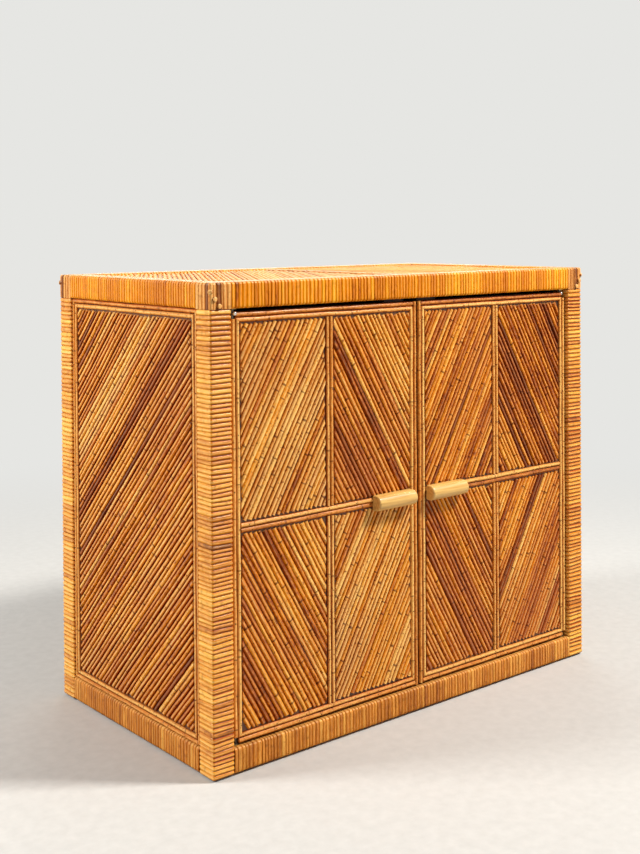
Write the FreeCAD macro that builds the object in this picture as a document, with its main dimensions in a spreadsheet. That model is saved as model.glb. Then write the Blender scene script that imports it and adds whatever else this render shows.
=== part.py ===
import FreeCAD, Part
import Sketcher

import math
import os
import re

# A low two-door cabinet for records: a frame of cane-bound posts and rails, closed with
# plywood panels that are faced with half-round split reeds.  Millimetres; +Z is up, +X is
# to the right of someone who faces the doors, and the doors face -Y.  The origin is the
# middle of the overall box, on the floor.

doc = FreeCAD.newDocument("record_cabinet")

# Driving sizes: name, value in millimetres (angles in degrees), meaning.
SIZES = (
    ("cabinet_width", 766, "over the corner posts, left to right"),
    ("cabinet_depth", 412, "over the corner posts, front to back"),
    ("cabinet_height", 660, "floor to the top of the frame"),
    ("post_width", 35, "square post or rail, over its cane"),
    ("wrap_thickness", 1.5, "cane wound round the posts and rails"),
    ("edge_radius", 4, "rounded edge of a bound post or rail"),
    ("top_rail_height", 36, "bound rail round the top"),
    ("bottom_rail_height", 34, "bound rail round the foot"),
    ("glide_height", 2.5, "nail-on glide under each post"),
    ("glide_radius", 10, "glide at its top"),
    ("glide_taper", 2, "how much smaller the glide is on the floor"),
    ("dowel_radius", 4, "beech dowel between rail and post"),
    ("dowel_length", 38, "half in the rail, half in the post"),
    ("dowel_offset", 8, "dowel above or below the middle of its rail"),
    ("fit_gap", 0.1, "glue line round dowels, pins and inset pieces"),
    ("peg_radius", 3.5, "round rattan peg in the top corner of a post"),
    ("peg_length", 11, "corner peg"),
    ("peg_proud", 2, "how far a peg stands out of the post's faces"),
    ("peg_step_across", 7.2, "from one corner peg to the next, across"),
    ("peg_step_down", 9.5, "from one corner peg to the next, down"),
    ("peg_drop", 12.5, "first corner peg below the top"),
    ("reed_width", 7.0, "half-round split reed"),
    ("reed_height", 3.2, "half-round split reed"),
    ("reed_gap", 0.1, "between neighbouring reeds"),
    ("shortest_reed", 14, "smaller corner bits are left out"),
    ("strip_width", 7.0, "half-round border strip"),
    ("strip_height", 3.6, "half-round border strip"),
    ("door_reed_angle", 60, "door reeds, from the horizontal"),
    ("side_reed_angle", 46, "side reeds, from the horizontal"),
    ("top_reed_angle", 58, "top reeds, from the front edge"),
    ("side_panel_thickness", 9, "plywood side"),
    ("side_recess", 2.1, "crest of the side strips behind the posts' faces"),
    ("top_panel_thickness", 12, "plywood top"),
    ("top_recess", 0.6, "crest of the top strips below the top rails"),
    ("batten_side", 12, "square batten under the top panel"),
    ("back_panel_thickness", 6, "plywood back"),
    ("back_recess", 4, "back panel inside the posts' back faces"),
    ("deck_thickness", 12, "bottom board"),
    ("deck_gap", 0.5, "between the deck and the back corner of a turning door"),
    ("shelf_thickness", 12, "shelf board"),
    ("record_bay_height", 325, "clear height over the deck, for sleeves 315 mm high"),
    ("shelf_setback", 14, "shelf's front edge behind the deck's"),
    ("cleat_width", 15, "batten under each end of the shelf"),
    ("cleat_height", 20, "batten under each end of the shelf"),
    ("board_gap", 0.5, "play of the deck and the shelf between the posts"),
    ("door_panel_thickness", 12, "plywood door"),
    ("door_recess", 5, "crest of the door strips behind the posts' faces"),
    ("door_side_gap", 3, "door to post"),
    ("door_centre_gap", 3, "door to door"),
    ("door_top_gap", 5, "door to top rail"),
    ("door_bottom_gap", 2.5, "door to bottom rail"),
    ("door_middle_height", 328, "middle strips of the doors above the floor"),
    ("pin_radius", 2.5, "steel pivot pin"),
    ("pin_inset", 5.5, "pivot axis inside the door's hinge edge"),
    ("pin_depth", 7, "pivot axis behind the crest of the door strips"),
    ("pin_grip", 20, "pin in the door"),
    ("pin_reach", 10, "pin in the bush"),
    ("notch_width", 8.5, "corner notch in which the pin shows"),
    ("notch_height", 9, "corner notch in which the pin shows"),
    ("notch_depth", 7, "corner notch, into the door's panel"),
    ("bush_radius", 4, "brass bush in the rails"),
    ("bush_length", 12, "bush in the rail"),
    ("flange_radius", 6, "flange of the bush"),
    ("flange_thickness", 1, "flange of the bush"),
    ("running_gap", 0.05, "pin in its bush, on the radius"),
    ("collar_radius", 4.2, "collar that carries the door on the lower bush"),
    ("collar_thickness", 1.1, "collar on the lower pin"),
    ("handle_length", 77, "half-round handle, level"),
    ("handle_height", 22.5, "half-round handle"),
    ("handle_depth", 17, "half-round handle, off the door strips"),
    ("handle_inset", 15, "handle's inner end inside the door's free edge"),
    ("handle_drop", 1, "handle's middle below the middle strips' line"),
    ("handle_rounding", 3, "rounded ends of the handle"),
    ("handle_screw_radius", 2, "screw through the door into the handle"),
    ("handle_screw_grip", 10, "handle screw in the handle"),
    ("handle_screw_spacing", 45, "two screws in each handle"),
    ("back_screw_radius", 1.7, "screw through the back into the deck and the shelf"),
    ("back_screw_grip", 22, "back screw in the board"),
    ("back_screw_inset", 28, "outer back screws inside the corner posts"),
    ("screw_head_ratio", 2, "countersunk head to shank"),
    ("catch_length", 40, "magnetic catch under the top rail"),
    ("catch_depth", 13, "magnetic catch"),
    ("catch_height", 14, "magnetic catch"),
    ("catch_inset", 12, "catch's end inside the door's free edge"),
    ("catch_gap", 0.3, "between catch and strike plate"),
    ("strike_height", 9, "strike plate on the door"),
    ("strike_thickness", 1, "strike plate on the door"),
    ("strike_drop", 1, "strike plate below the door's top edge"),
)
NAMES = {name for name, _, _ in SIZES}

sheet = doc.addObject("Spreadsheet::Sheet", "sizes")
for row, (name, value, meaning) in enumerate(SIZES, 1):
    sheet.set(f"A{row}", name)
    sheet.set(f"B{row}", str(value))
    sheet.setAlias(f"B{row}", name)
    sheet.set(f"C{row}", meaning)
doc.recompute()

# Places that several pieces share, as formulas of the sizes.  The origin is the middle of
# the overall box, whose front is the handles' and whose back is the corner pegs'.
FRONT = "((handle_depth - door_recess - peg_proud - cabinet_depth) / 2)"
BACK = "((handle_depth - door_recess - peg_proud + cabinet_depth) / 2)"
MIDDLE_Y = "((handle_depth - door_recess - peg_proud) / 2)"
HALF_WIDTH = "(cabinet_width / 2)"
OPENING_HALF = f"({HALF_WIDTH} - post_width)"
TOP_RAIL_LOW = "(cabinet_height - top_rail_height)"
BOTTOM_RAIL_TOP = "(glide_height + bottom_rail_height)"
SIDE_INNER = f"({HALF_WIDTH} - side_recess - strip_height - side_panel_thickness)"
BACK_INNER = f"({BACK} - back_recess - back_panel_thickness)"
TOP_PANEL_LOW = "(cabinet_height - top_recess - strip_height - top_panel_thickness)"
SHELF_LOW = f"({BOTTOM_RAIL_TOP} + deck_thickness + record_bay_height)"
DOOR_WIDTH = f"({OPENING_HALF} - door_side_gap - door_centre_gap / 2)"
DOOR_LOW = f"({BOTTOM_RAIL_TOP} + door_bottom_gap)"
DOOR_HIGH = f"({TOP_RAIL_LOW} - door_top_gap)"
DOOR_CREST = f"({FRONT} + door_recess)"
DOOR_FACE = f"({DOOR_CREST} + strip_height)"
DOOR_BACK = f"({DOOR_FACE} + door_panel_thickness)"
DOOR_MIDDLE_X = f"(door_centre_gap / 2 + {DOOR_WIDTH} / 2)"
PIVOT_X = f"({OPENING_HALF} - door_side_gap - pin_inset)"
PIVOT_Y = f"({DOOR_CREST} + pin_depth)"
DOOR_SWEEP = "sqrt(pin_inset ^ 2 + (strip_height + door_panel_thickness - pin_depth) ^ 2)"
DECK_FRONT = f"({PIVOT_Y} + {DOOR_SWEEP} + deck_gap)"
HANDLE_X = "(door_centre_gap / 2 + handle_inset + handle_length / 2)"
HANDLE_Z = "(door_middle_height - handle_drop)"

SIDES = (("left", -1), ("right", 1))
CORNERS = (
    ("front_left", -1, FRONT, 1),
    ("front_right", 1, FRONT, 1),
    ("back_left", -1, BACK, -1),
    ("back_right", 1, BACK, -1),
)
ACROSS = FreeCAD.Vector(1, 0, 0)
BACKWARD = FreeCAD.Vector(0, 1, 0)
UP = FreeCAD.Vector(0, 0, 1)
DIRECTIONS = {"x": ACROSS, "y": BACKWARD, "z": UP}
DIAGONAL = math.sqrt(0.5)

nodes = []


def size(name):
    """A driving size as a number."""
    return float(sheet.get(name))


def formula(text):
    """A formula of size names, as the document's expressions spell it."""
    return re.sub(r"[a-z_]+", lambda m: "sizes." + m[0] if m[0] in NAMES else m[0], text)


def bind(thing, **formulas):
    """Ties properties of a document object to formulas of the sizes."""
    for prop, text in formulas.items():
        thing.setExpression(prop, formula(text))


def put(thing, x, y, z):
    """Ties the place of a document object to formulas of the sizes."""
    for axis, text in zip("xyz", (x, y, z)):
        thing.setExpression(f"Placement.Base.{axis}", formula(text))


def aim(thing, direction):
    """Turns a document object that is made along +Z to another direction."""
    turn = FreeCAD.Rotation(UP, direction)
    thing.Placement = FreeCAD.Placement(FreeCAD.Vector(), turn)


def node(thing, name):
    """Marks a document object as a finished piece."""
    thing.Label = name
    nodes.append(thing)
    return thing


def block(name, span, middle, low):
    """A box with its length, width and height, by its middle in X and Y and its low Z."""
    box = doc.addObject("Part::Box", name)
    bind(box, Length=span[0], Width=span[1], Height=span[2])
    put(box, f"{middle[0]} - ({span[0]}) / 2", f"{middle[1]} - ({span[1]}) / 2", low)
    return box


def rod(name, direction, radius, length, start):
    """A cylinder from start along a direction."""
    cylinder = doc.addObject("Part::Cylinder", name)
    aim(cylinder, direction)
    bind(cylinder, Radius=radius, Height=length)
    put(cylinder, *start)
    return cylinder


def cone(name, direction, low_radius, high_radius, length, start):
    """A cut cone from start along a direction."""
    taper = doc.addObject("Part::Cone", name)
    aim(taper, direction)
    bind(taper, Radius1=low_radius, Radius2=high_radius, Height=length)
    put(taper, *start)
    return taper


def group(name, pieces):
    """Several separate solids as one object."""
    compound = doc.addObject("Part::Compound", name)
    compound.Links = pieces
    return compound


def cut(name, base, tools):
    """base without the tools."""
    result = doc.addObject("Part::Cut", name)
    result.Base = base
    result.Tool = tools[0] if len(tools) == 1 else group(name + "_tools", tools)
    return result


def fuse(name, base, tool):
    """Two touching solids as one."""
    result = doc.addObject("Part::Fuse", name)
    result.Base = base
    result.Tool = tool
    return result


def long_edges(shape, axis, depth=0):
    """Names of the straight edges along an axis that lie deeper than depth in the shape."""
    box = shape.BoundBox
    found = []
    for number, edge in enumerate(shape.Edges, 1):
        line = edge.Vertexes[-1].Point - edge.Vertexes[0].Point
        if line.Length == 0 or abs(line.normalize().dot(DIRECTIONS[axis])) < 0.999:
            continue
        spot = edge.CenterOfMass
        margins = {
            "x": min(spot.x - box.XMin, box.XMax - spot.x),
            "y": min(spot.y - box.YMin, box.YMax - spot.y),
            "z": min(spot.z - box.ZMin, box.ZMax - spot.z),
        }
        del margins[axis]
        if min(margins.values()) >= depth:
            found.append(f"Edge{number}")
    return found


def rounded(body, feature, axis, radius, depth=0):
    """Rounds the edges of a body's feature along an axis."""
    feature.recompute()
    fillet = body.newObject("PartDesign::Fillet", feature.Name + "_round")
    fillet.Base = (feature, long_edges(feature.Shape, axis, depth))
    bind(fillet, Radius=radius)
    fillet.recompute()


def timber(name, span, middle, low, axis, radius):
    """A bar with its long edges rounded."""
    body = doc.addObject("PartDesign::Body", name)
    blank = body.newObject("PartDesign::AdditiveBox", name + "_blank")
    bind(blank, Length=span[0], Width=span[1], Height=span[2])
    rounded(body, blank, axis, radius)
    put(body, f"{middle[0]} - ({span[0]}) / 2", f"{middle[1]} - ({span[1]}) / 2", low)
    return body


def hollowed(body, span, corner, axis):
    """Takes the space for the wooden core out of a cane sleeve."""
    hollow = body.newObject("PartDesign::SubtractiveBox", body.Name + "_hollow")
    bind(hollow, Length=span[0], Width=span[1], Height=span[2])
    put(hollow, *corner)
    rounded(body, hollow, axis, "edge_radius - wrap_thickness", size("wrap_thickness") / 2)


def slimmed(span, axis, walls):
    """A span without walls on the two sides that the axis doesn't run along."""
    return [text if letter == axis else f"{text} - {walls}" for letter, text in zip("xyz", span)]


def sleeve(name, span, middle, low, axis):
    """The cane wound round a bar, as a thin tube with rounded edges."""
    body = timber(name, span, middle, low, axis, "edge_radius")
    corner = ["0" if letter == axis else "wrap_thickness" for letter in "xyz"]
    hollowed(body, slimmed(span, axis, "2 * wrap_thickness"), corner, axis)
    return body


def core(name, span, middle, low, axis):
    """The wooden bar inside a sleeve, with a glue line all round."""
    slim = slimmed(span, axis, "2 * (wrap_thickness + fit_gap)")
    return timber(name, slim, middle, low, axis, "edge_radius - wrap_thickness - fit_gap")


# --- Dowels between rails and posts -------------------------------------------------

TOP_MIDDLE = f"({TOP_RAIL_LOW} + top_rail_height / 2)"
BOTTOM_MIDDLE = "(glide_height + bottom_rail_height / 2)"


def dowel(name, axis, start):
    """A dowel and the hole that it is glued into."""
    place = "xyz".index(axis)
    hole_start = list(start)
    hole_start[place] += " - fit_gap"
    longer = "dowel_length + 2 * fit_gap"
    direction = DIRECTIONS[axis]
    return (
        rod(name, direction, "dowel_radius", "dowel_length", start),
        rod(name + "_hole", direction, "dowel_radius + fit_gap", longer, hole_start),
    )


dowels = []
rail_holes = {}
post_holes = {}
for level, middle_z, lift in (("top", TOP_MIDDLE, 1), ("bottom", BOTTOM_MIDDLE, -1)):
    for corner, sign, face, inward in CORNERS:
        end, side = corner.split("_")
        across = (
            f"{sign} * {OPENING_HALF} - dowel_length / 2",
            f"{face} + {inward} * post_width / 2",
            f"{middle_z} + {lift} * dowel_offset",
        )
        along = (
            f"{sign} * ({HALF_WIDTH} - post_width / 2)",
            f"{face} + {inward} * post_width - dowel_length / 2",
            f"{middle_z} - {lift} * dowel_offset",
        )
        for rail, axis, start in ((end, "x", across), (side, "y", along)):
            piece, hole = dowel(f"dowel_{level}_{rail}_{corner}", axis, start)
            dowels.append(piece)
            rail_holes.setdefault(f"{level}_{rail}", []).append(hole)
            post_holes.setdefault(f"{level}_{corner}", []).append(hole)
node(group("frame_dowels", dowels), "frame_dowels")


# --- Corner posts, their cane, their closed tops and the corner pegs ----------------


def corner_pegs(corner, sign, face, inward):
    """Three pegs that step down from the post's edge across its face, with their holes."""
    pegs = []
    holes = []
    for step in range(3):
        slant = DIAGONAL if step == 0 else 0
        depth = DIAGONAL if step == 0 else 1
        direction = FreeCAD.Vector(sign * slant, -inward * depth, 0)
        # The rim of the slanting first peg is level with the heads of the other two.
        reach_x = f"{step} * peg_step_across + {slant} * (peg_radius + peg_length)"
        reach_y = f"{depth} * peg_length + {slant} * peg_radius - peg_proud"
        start = (
            f"{sign} * ({HALF_WIDTH} - ({reach_x}) + {1 if step == 0 else 0} * peg_proud)",
            f"{face} + {inward} * ({reach_y})",
            f"cabinet_height - peg_drop - {step} * peg_step_down",
        )
        hole_start = (
            f"{start[0]} - {sign * slant} * fit_gap",
            f"{start[1]} + {inward * depth} * fit_gap",
            start[2],
        )
        name = f"peg_{corner}_{step}"
        pegs.append(rod(name, direction, "peg_radius", "peg_length", start))
        holes.append(
            rod(name + "_hole", direction, "peg_radius + fit_gap", "peg_length", hole_start)
        )
    return pegs, holes


def closed_top(name, middle):
    """The cane laid up a post's top end, closed on top."""
    span = ("post_width", "post_width", "top_rail_height")
    body = timber(name, span, middle, TOP_RAIL_LOW, "z", "edge_radius")
    side = "post_width - 2 * wrap_thickness"
    inner = (side, side, "top_rail_height - wrap_thickness")
    hollowed(body, inner, ("wrap_thickness", "wrap_thickness", "0"), "z")
    return body


pegs = []
caps = []
for corner, sign, face, inward in CORNERS:
    middle = (f"{sign} * ({HALF_WIDTH} - post_width / 2)", f"{face} + {inward} * post_width / 2")
    own_pegs, peg_holes = corner_pegs(corner, sign, face, inward)
    pegs += own_pegs
    top_holes = post_holes[f"top_{corner}"] + peg_holes
    bottom_holes = post_holes[f"bottom_{corner}"]
    height = "cabinet_height - glide_height - wrap_thickness - fit_gap"
    bar = core(f"bar_{corner}", ("post_width", "post_width", height), middle, "glide_height", "z")
    node(cut(f"post_{corner}_bored", bar, top_holes + bottom_holes), f"post_{corner}")
    height = f"{TOP_RAIL_LOW} - glide_height"
    wrap = sleeve(f"cane_{corner}", ("post_width", "post_width", height), middle, "glide_height", "z")
    node(cut(f"cane_{corner}_bored", wrap, bottom_holes), f"post_wrap_{corner}")
    caps.append(cut(f"cap_{corner}_bored", closed_top(f"cap_{corner}", middle), top_holes))
node(group("post_caps", caps), "post_caps")
node(group("corner_pegs", pegs), "corner_pegs")


# --- Foot glides --------------------------------------------------------------------

glides = []
for corner, sign, face, inward in CORNERS:
    start = (
        f"{sign} * ({HALF_WIDTH} - post_width / 2)",
        f"{face} + {inward} * post_width / 2",
        "0",
    )
    foot = "glide_radius - glide_taper"
    glides.append(cone(f"glide_{corner}", UP, foot, "glide_radius", "glide_height", start))
node(group("foot_glides", glides), "foot_glides")


# --- Bushes that the doors turn in --------------------------------------------------


def bush(name, sign, low, flange_low):
    """A flanged brass bush, and the hole in the rail that it is pressed into."""
    x = f"{sign} * {PIVOT_X}"
    body = rod(f"{name}_body", UP, "bush_radius", "bush_length", (x, PIVOT_Y, low))
    flange_start = (x, PIVOT_Y, flange_low)
    flange = rod(f"{name}_flange", UP, "flange_radius", "flange_thickness", flange_start)
    bore = rod(
        f"{name}_bore",
        UP,
        "pin_radius + running_gap",
        "bush_length + 2 * flange_thickness",
        (x, PIVOT_Y, f"{low} - flange_thickness"),
    )
    socket = rod(
        f"{name}_socket",
        UP,
        "bush_radius + fit_gap",
        "bush_length + 2 * fit_gap",
        (x, PIVOT_Y, f"{low} - fit_gap"),
    )
    return cut(name, fuse(f"{name}_blank", body, flange), [bore]), socket


bushes = []
sockets = {"top": [], "bottom": []}
for side, sign in SIDES:
    for level, low, flange_low in (
        ("top", TOP_RAIL_LOW, f"{TOP_RAIL_LOW} - flange_thickness"),
        ("bottom", f"({BOTTOM_RAIL_TOP} - bush_length)", BOTTOM_RAIL_TOP),
    ):
        piece, socket = bush(f"bush_{level}_{side}", sign, low, flange_low)
        bushes.append(piece)
        sockets[level].append(socket)
node(group("pivot_bushes", bushes), "pivot_bushes")


# --- Rails round the top and the foot -----------------------------------------------


def bound_rail(name, span, middle, low, axis, dowel_holes, bush_holes):
    """A rail: its wooden core, and the cane wound round it."""
    wrap = sleeve(f"{name}_cane", span, middle, low, axis)
    if bush_holes:
        wrap = cut(f"{name}_cane_bored", wrap, bush_holes)
    bar = core(f"{name}_bar", span, middle, f"{low} + wrap_thickness + fit_gap", axis)
    place, rail = name.split("_rail_")
    node(cut(f"{name}_bored", bar, dowel_holes + bush_holes), name)
    node(wrap, f"{place}_rail_wrap_{rail}")


for level, low, height in (
    ("top", TOP_RAIL_LOW, "top_rail_height"),
    ("bottom", "glide_height", "bottom_rail_height"),
):
    for end, face, inward in (("front", FRONT, 1), ("back", BACK, -1)):
        span = ("cabinet_width - 2 * post_width", "post_width", height)
        middle = ("0", f"{face} + {inward} * post_width / 2")
        bush_holes = sockets[level] if end == "front" else []
        holes = rail_holes[f"{level}_{end}"]
        bound_rail(f"{level}_rail_{end}", span, middle, low, "x", holes, bush_holes)
    for side, sign in SIDES:
        span = ("post_width", "cabinet_depth - 2 * post_width", height)
        middle = (f"{sign} * ({HALF_WIDTH} - post_width / 2)", MIDDLE_Y)
        bound_rail(f"{level}_rail_{side}", span, middle, low, "y", rail_holes[f"{level}_{side}"], [])


# --- Countersunk screws that run in from the back ------------------------------------


def wood_screw(name, radius, head_y, grip_y, x, z):
    """A countersunk screw from its head's flat at head_y to its tip at grip_y, and its hole."""
    head_radius = f"{radius} * screw_head_ratio"
    head_height = f"({radius} * (screw_head_ratio - 1))"
    length = f"{head_y} - ({grip_y})"
    shank = rod(f"{name}_shank", BACKWARD, radius, length, (x, grip_y, z))
    head_start = (x, f"{head_y} - {head_height}", z)
    head = cone(f"{name}_head", BACKWARD, radius, head_radius, head_height, head_start)
    bore = rod(
        f"{name}_hole",
        BACKWARD,
        f"{radius} + fit_gap",
        f"{length} + 2 * fit_gap",
        (x, f"{grip_y} - fit_gap", z),
    )
    sink = cone(
        f"{name}_sink",
        BACKWARD,
        f"{radius} + fit_gap",
        f"{head_radius} + 2 * fit_gap",
        f"{head_height} + fit_gap",
        (x, f"{head_y} - {head_height}", z),
    )
    return fuse(name, shank, head), [bore, sink]


back_screws = []
board_holes = {"deck": [], "shelf": []}
BACK_FACE = f"({BACK} - back_recess)"
for board, middle_z in (
    ("deck", f"({BOTTOM_RAIL_TOP} + deck_thickness / 2)"),
    ("shelf", f"({SHELF_LOW} + shelf_thickness / 2)"),
):
    for place in range(-2, 3):
        name = f"back_screw_{board}_{place + 2}"
        x = f"{place} * ({OPENING_HALF} - back_screw_inset) / 2"
        tip = f"{BACK_INNER} - back_screw_grip"
        screw, holes = wood_screw(name, "back_screw_radius", BACK_FACE, tip, x, middle_z)
        back_screws.append(screw)
        board_holes[board] += holes
node(group("back_panel_screws", back_screws), "back_panel_screws")


# --- Plywood panels, deck, shelf and battens -----------------------------------------

PANEL_HEIGHT = f"{TOP_RAIL_LOW} - {BOTTOM_RAIL_TOP} - 2 * fit_gap"
PANEL_LOW = f"{BOTTOM_RAIL_TOP} + fit_gap"
INSIDE_DEPTH = "cabinet_depth - 2 * post_width - 2 * fit_gap"
INSIDE_WIDTH = "cabinet_width - 2 * post_width - 2 * fit_gap"

side_panels = {}
for side, sign in SIDES:
    span = ("side_panel_thickness", INSIDE_DEPTH, PANEL_HEIGHT)
    middle = (f"{sign} * ({SIDE_INNER} + side_panel_thickness / 2)", MIDDLE_Y)
    side_panels[side] = node(block(f"side_{side}", span, middle, PANEL_LOW), f"side_panel_{side}")

span = (INSIDE_WIDTH, INSIDE_DEPTH, "top_panel_thickness")
top_panel = node(block("top_board", span, ("0", MIDDLE_Y), TOP_PANEL_LOW), "top_panel")

span = (INSIDE_WIDTH, "back_panel_thickness", PANEL_HEIGHT)
back_blank = block("back_blank", span, ("0", f"{BACK_INNER} + back_panel_thickness / 2"), PANEL_LOW)
node(cut("back_bored", back_blank, board_holes["deck"] + board_holes["shelf"]), "back_panel")


def board(name, front, thickness, low, screw_holes):
    """A board between the side panels, with a notch for each corner post."""
    depth = f"({BACK_INNER} - fit_gap - ({front}))"
    span = (f"2 * ({SIDE_INNER} - fit_gap)", depth, thickness)
    blank = block(f"{name}_blank", span, ("0", f"{front} + {depth} / 2"), low)
    tools = list(screw_holes)
    for corner, sign, face, inward in CORNERS:
        room = "post_width + 2 * board_gap"
        x = f"{sign} * ({HALF_WIDTH} - post_width / 2)"
        y = f"{face} + {inward} * post_width / 2"
        span = (room, room, f"3 * {thickness}")
        tools.append(block(f"{name}_notch_{corner}", span, (x, y), f"{low} - {thickness}"))
    return node(cut(f"{name}_cut", blank, tools), name)


board("deck", DECK_FRONT, "deck_thickness", BOTTOM_RAIL_TOP, board_holes["deck"])
board("shelf", f"{DECK_FRONT} + shelf_setback", "shelf_thickness", SHELF_LOW, board_holes["shelf"])

cleats = []
for side, sign in SIDES:
    span = ("cleat_width", "cabinet_depth - 2 * post_width - 2 * board_gap", "cleat_height")
    middle = (f"{sign} * ({SIDE_INNER} - fit_gap - cleat_width / 2)", MIDDLE_Y)
    cleats.append(block(f"cleat_{side}", span, middle, f"{SHELF_LOW} - cleat_height"))
node(group("shelf_cleats", cleats), "shelf_cleats")

battens = []
for end, face, inward in (("front", FRONT, 1), ("back", BACK, -1)):
    span = (INSIDE_WIDTH, "batten_side", "batten_side")
    middle = ("0", f"{face} + {inward} * (post_width + fit_gap + batten_side / 2)")
    battens.append(block(f"batten_{end}", span, middle, f"{TOP_PANEL_LOW} - batten_side"))
node(group("top_battens", battens), "top_battens")


# --- Doors: plywood, pivot pins and screws -------------------------------------------

PIN_LOW = f"({DOOR_HIGH} - notch_height - pin_grip)"
PIN_HIGH = f"({DOOR_LOW} + notch_height + pin_grip)"


def pivot_pins(side, sign):
    """The upper and the lower pin of a door; the lower one carries it on a collar."""
    x = f"{sign} * {PIVOT_X}"
    low = f"({BOTTOM_RAIL_TOP} - pin_reach)"
    length = f"{TOP_RAIL_LOW} + pin_reach - {PIN_LOW}"
    upper = rod(f"upper_pin_{side}", UP, "pin_radius", length, (x, PIVOT_Y, PIN_LOW))
    shaft = rod(f"shaft_{side}", UP, "pin_radius", f"{PIN_HIGH} - {low}", (x, PIVOT_Y, low))
    collar_start = (x, PIVOT_Y, f"{BOTTOM_RAIL_TOP} + flange_thickness + fit_gap")
    collar = rod(f"collar_{side}", UP, "collar_radius", "collar_thickness", collar_start)
    return group(f"pins_{side}", [upper, fuse(f"lower_pin_{side}", shaft, collar)])


def pin_holes(side, sign):
    """The holes in a door that its pins are glued into, and the two corner notches."""
    x = f"{sign} * {PIVOT_X}"
    edge = f"{sign} * ({OPENING_HALF} - door_side_gap)"
    tools = []
    for name, hole_low, notch_low in (
        ("upper", f"{PIN_LOW} - fit_gap", f"{DOOR_HIGH} - notch_height"),
        ("lower", f"{DOOR_LOW} + notch_height", f"{DOOR_LOW} - notch_height"),
    ):
        grip = "pin_grip + fit_gap"
        start = (x, PIVOT_Y, hole_low)
        tools.append(rod(f"{name}_hole_{side}", UP, "pin_radius + fit_gap", grip, start))
        span = ("2 * notch_width", "2 * notch_depth", "2 * notch_height")
        tools.append(block(f"{name}_notch_{side}", span, (edge, DOOR_FACE), notch_low))
    return tools


def handle(side, sign, holes):
    """A half-round handle with its flat side on the strips and its ends rounded over."""
    body = doc.addObject("PartDesign::Body", f"handle_{side}")
    sketch = body.newObject("Sketcher::SketchObject", f"handle_section_{side}")
    plane = next(item for item in body.Origin.OriginFeatures if item.Role == "YZ_Plane")
    sketch.AttachmentSupport = (plane, "")
    sketch.MapMode = "FlatFace"
    half = size("handle_height") / 2
    shoulder = half - size("handle_depth")
    low = FreeCAD.Vector(0, -half, 0)
    high = FreeCAD.Vector(0, half, 0)
    high_shoulder = FreeCAD.Vector(shoulder, half, 0)
    low_shoulder = FreeCAD.Vector(shoulder, -half, 0)
    crest = FreeCAD.Vector(-size("handle_depth"), 0, 0)
    sketch.addGeometry(Part.LineSegment(low, high))
    sketch.addGeometry(Part.LineSegment(high, high_shoulder))
    sketch.addGeometry(Part.Arc(high_shoulder, crest, low_shoulder))
    sketch.addGeometry(Part.LineSegment(low_shoulder, low))
    for rule in (
        ("Coincident", 0, 2, 1, 1),
        ("Tangent", 1, 2, 2, 1),
        ("Tangent", 2, 2, 3, 1),
        ("Coincident", 3, 2, 0, 1),
        ("Horizontal", 1),
        ("Horizontal", 3),
        ("Symmetric", 0, 1, 0, 2, -1, 1),
    ):
        sketch.addConstraint(Sketcher.Constraint(*rule))
    radius = sketch.addConstraint(Sketcher.Constraint("Radius", 2, half))
    flat = sketch.addConstraint(Sketcher.Constraint("DistanceX", 2, 3, 0, 1, -shoulder))
    sketch.setExpression(f"Constraints[{radius}]", formula("handle_height / 2"))
    sketch.setExpression(f"Constraints[{flat}]", formula("handle_depth - handle_height / 2"))
    pad = body.newObject("PartDesign::Pad", f"handle_bar_{side}")
    pad.Profile = sketch
    pad.Midplane = True
    bind(pad, Length="handle_length")
    doc.recompute([sketch, pad])
    faces = [face for face in pad.Shape.Faces if abs(face.normalAt(0, 0).x) > 0.999]
    ends = []
    for number, edge in enumerate(pad.Shape.Edges, 1):
        on_end = any(edge.isSame(other) for face in faces for other in face.Edges)
        if on_end and abs(edge.CenterOfMass.y) > size("fit_gap"):
            ends.append(f"Edge{number}")
    fillet = body.newObject("PartDesign::Fillet", f"handle_ends_{side}")
    fillet.Base = (pad, ends)
    bind(fillet, Radius="handle_rounding")
    put(body, f"{sign} * {HANDLE_X}", DOOR_CREST, HANDLE_Z)
    return node(cut(f"handle_{side}_bored", body, holes), f"door_handle_{side}")


door_panels = {}
handle_holes = {}
for side, sign in SIDES:
    screws = []
    holes = []
    for number, shift in enumerate((-1, 1)):
        x = f"{sign} * {HANDLE_X} + {shift} * handle_screw_spacing / 2"
        name = f"handle_screw_{side}_{number}"
        tip = f"{DOOR_CREST} - handle_screw_grip"
        screw, hole = wood_screw(name, "handle_screw_radius", DOOR_BACK, tip, x, HANDLE_Z)
        screws.append(screw)
        holes += hole
    span = (DOOR_WIDTH, "door_panel_thickness", f"{DOOR_HIGH} - {DOOR_LOW}")
    middle = (f"{sign} * {DOOR_MIDDLE_X}", f"{DOOR_FACE} + door_panel_thickness / 2")
    blank = block(f"door_blank_{side}", span, middle, DOOR_LOW)
    panel = cut(f"door_cut_{side}", blank, pin_holes(side, sign) + holes)
    door_panels[side] = node(panel, f"door_panel_{side}")
    handle_holes[side] = holes
    handle(side, sign, holes)
    node(group(f"handle_screws_{side}", screws), f"handle_screws_{side}")
    node(pivot_pins(side, sign), f"pivot_pins_{side}")


# --- Catches that hold the doors shut ------------------------------------------------

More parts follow.
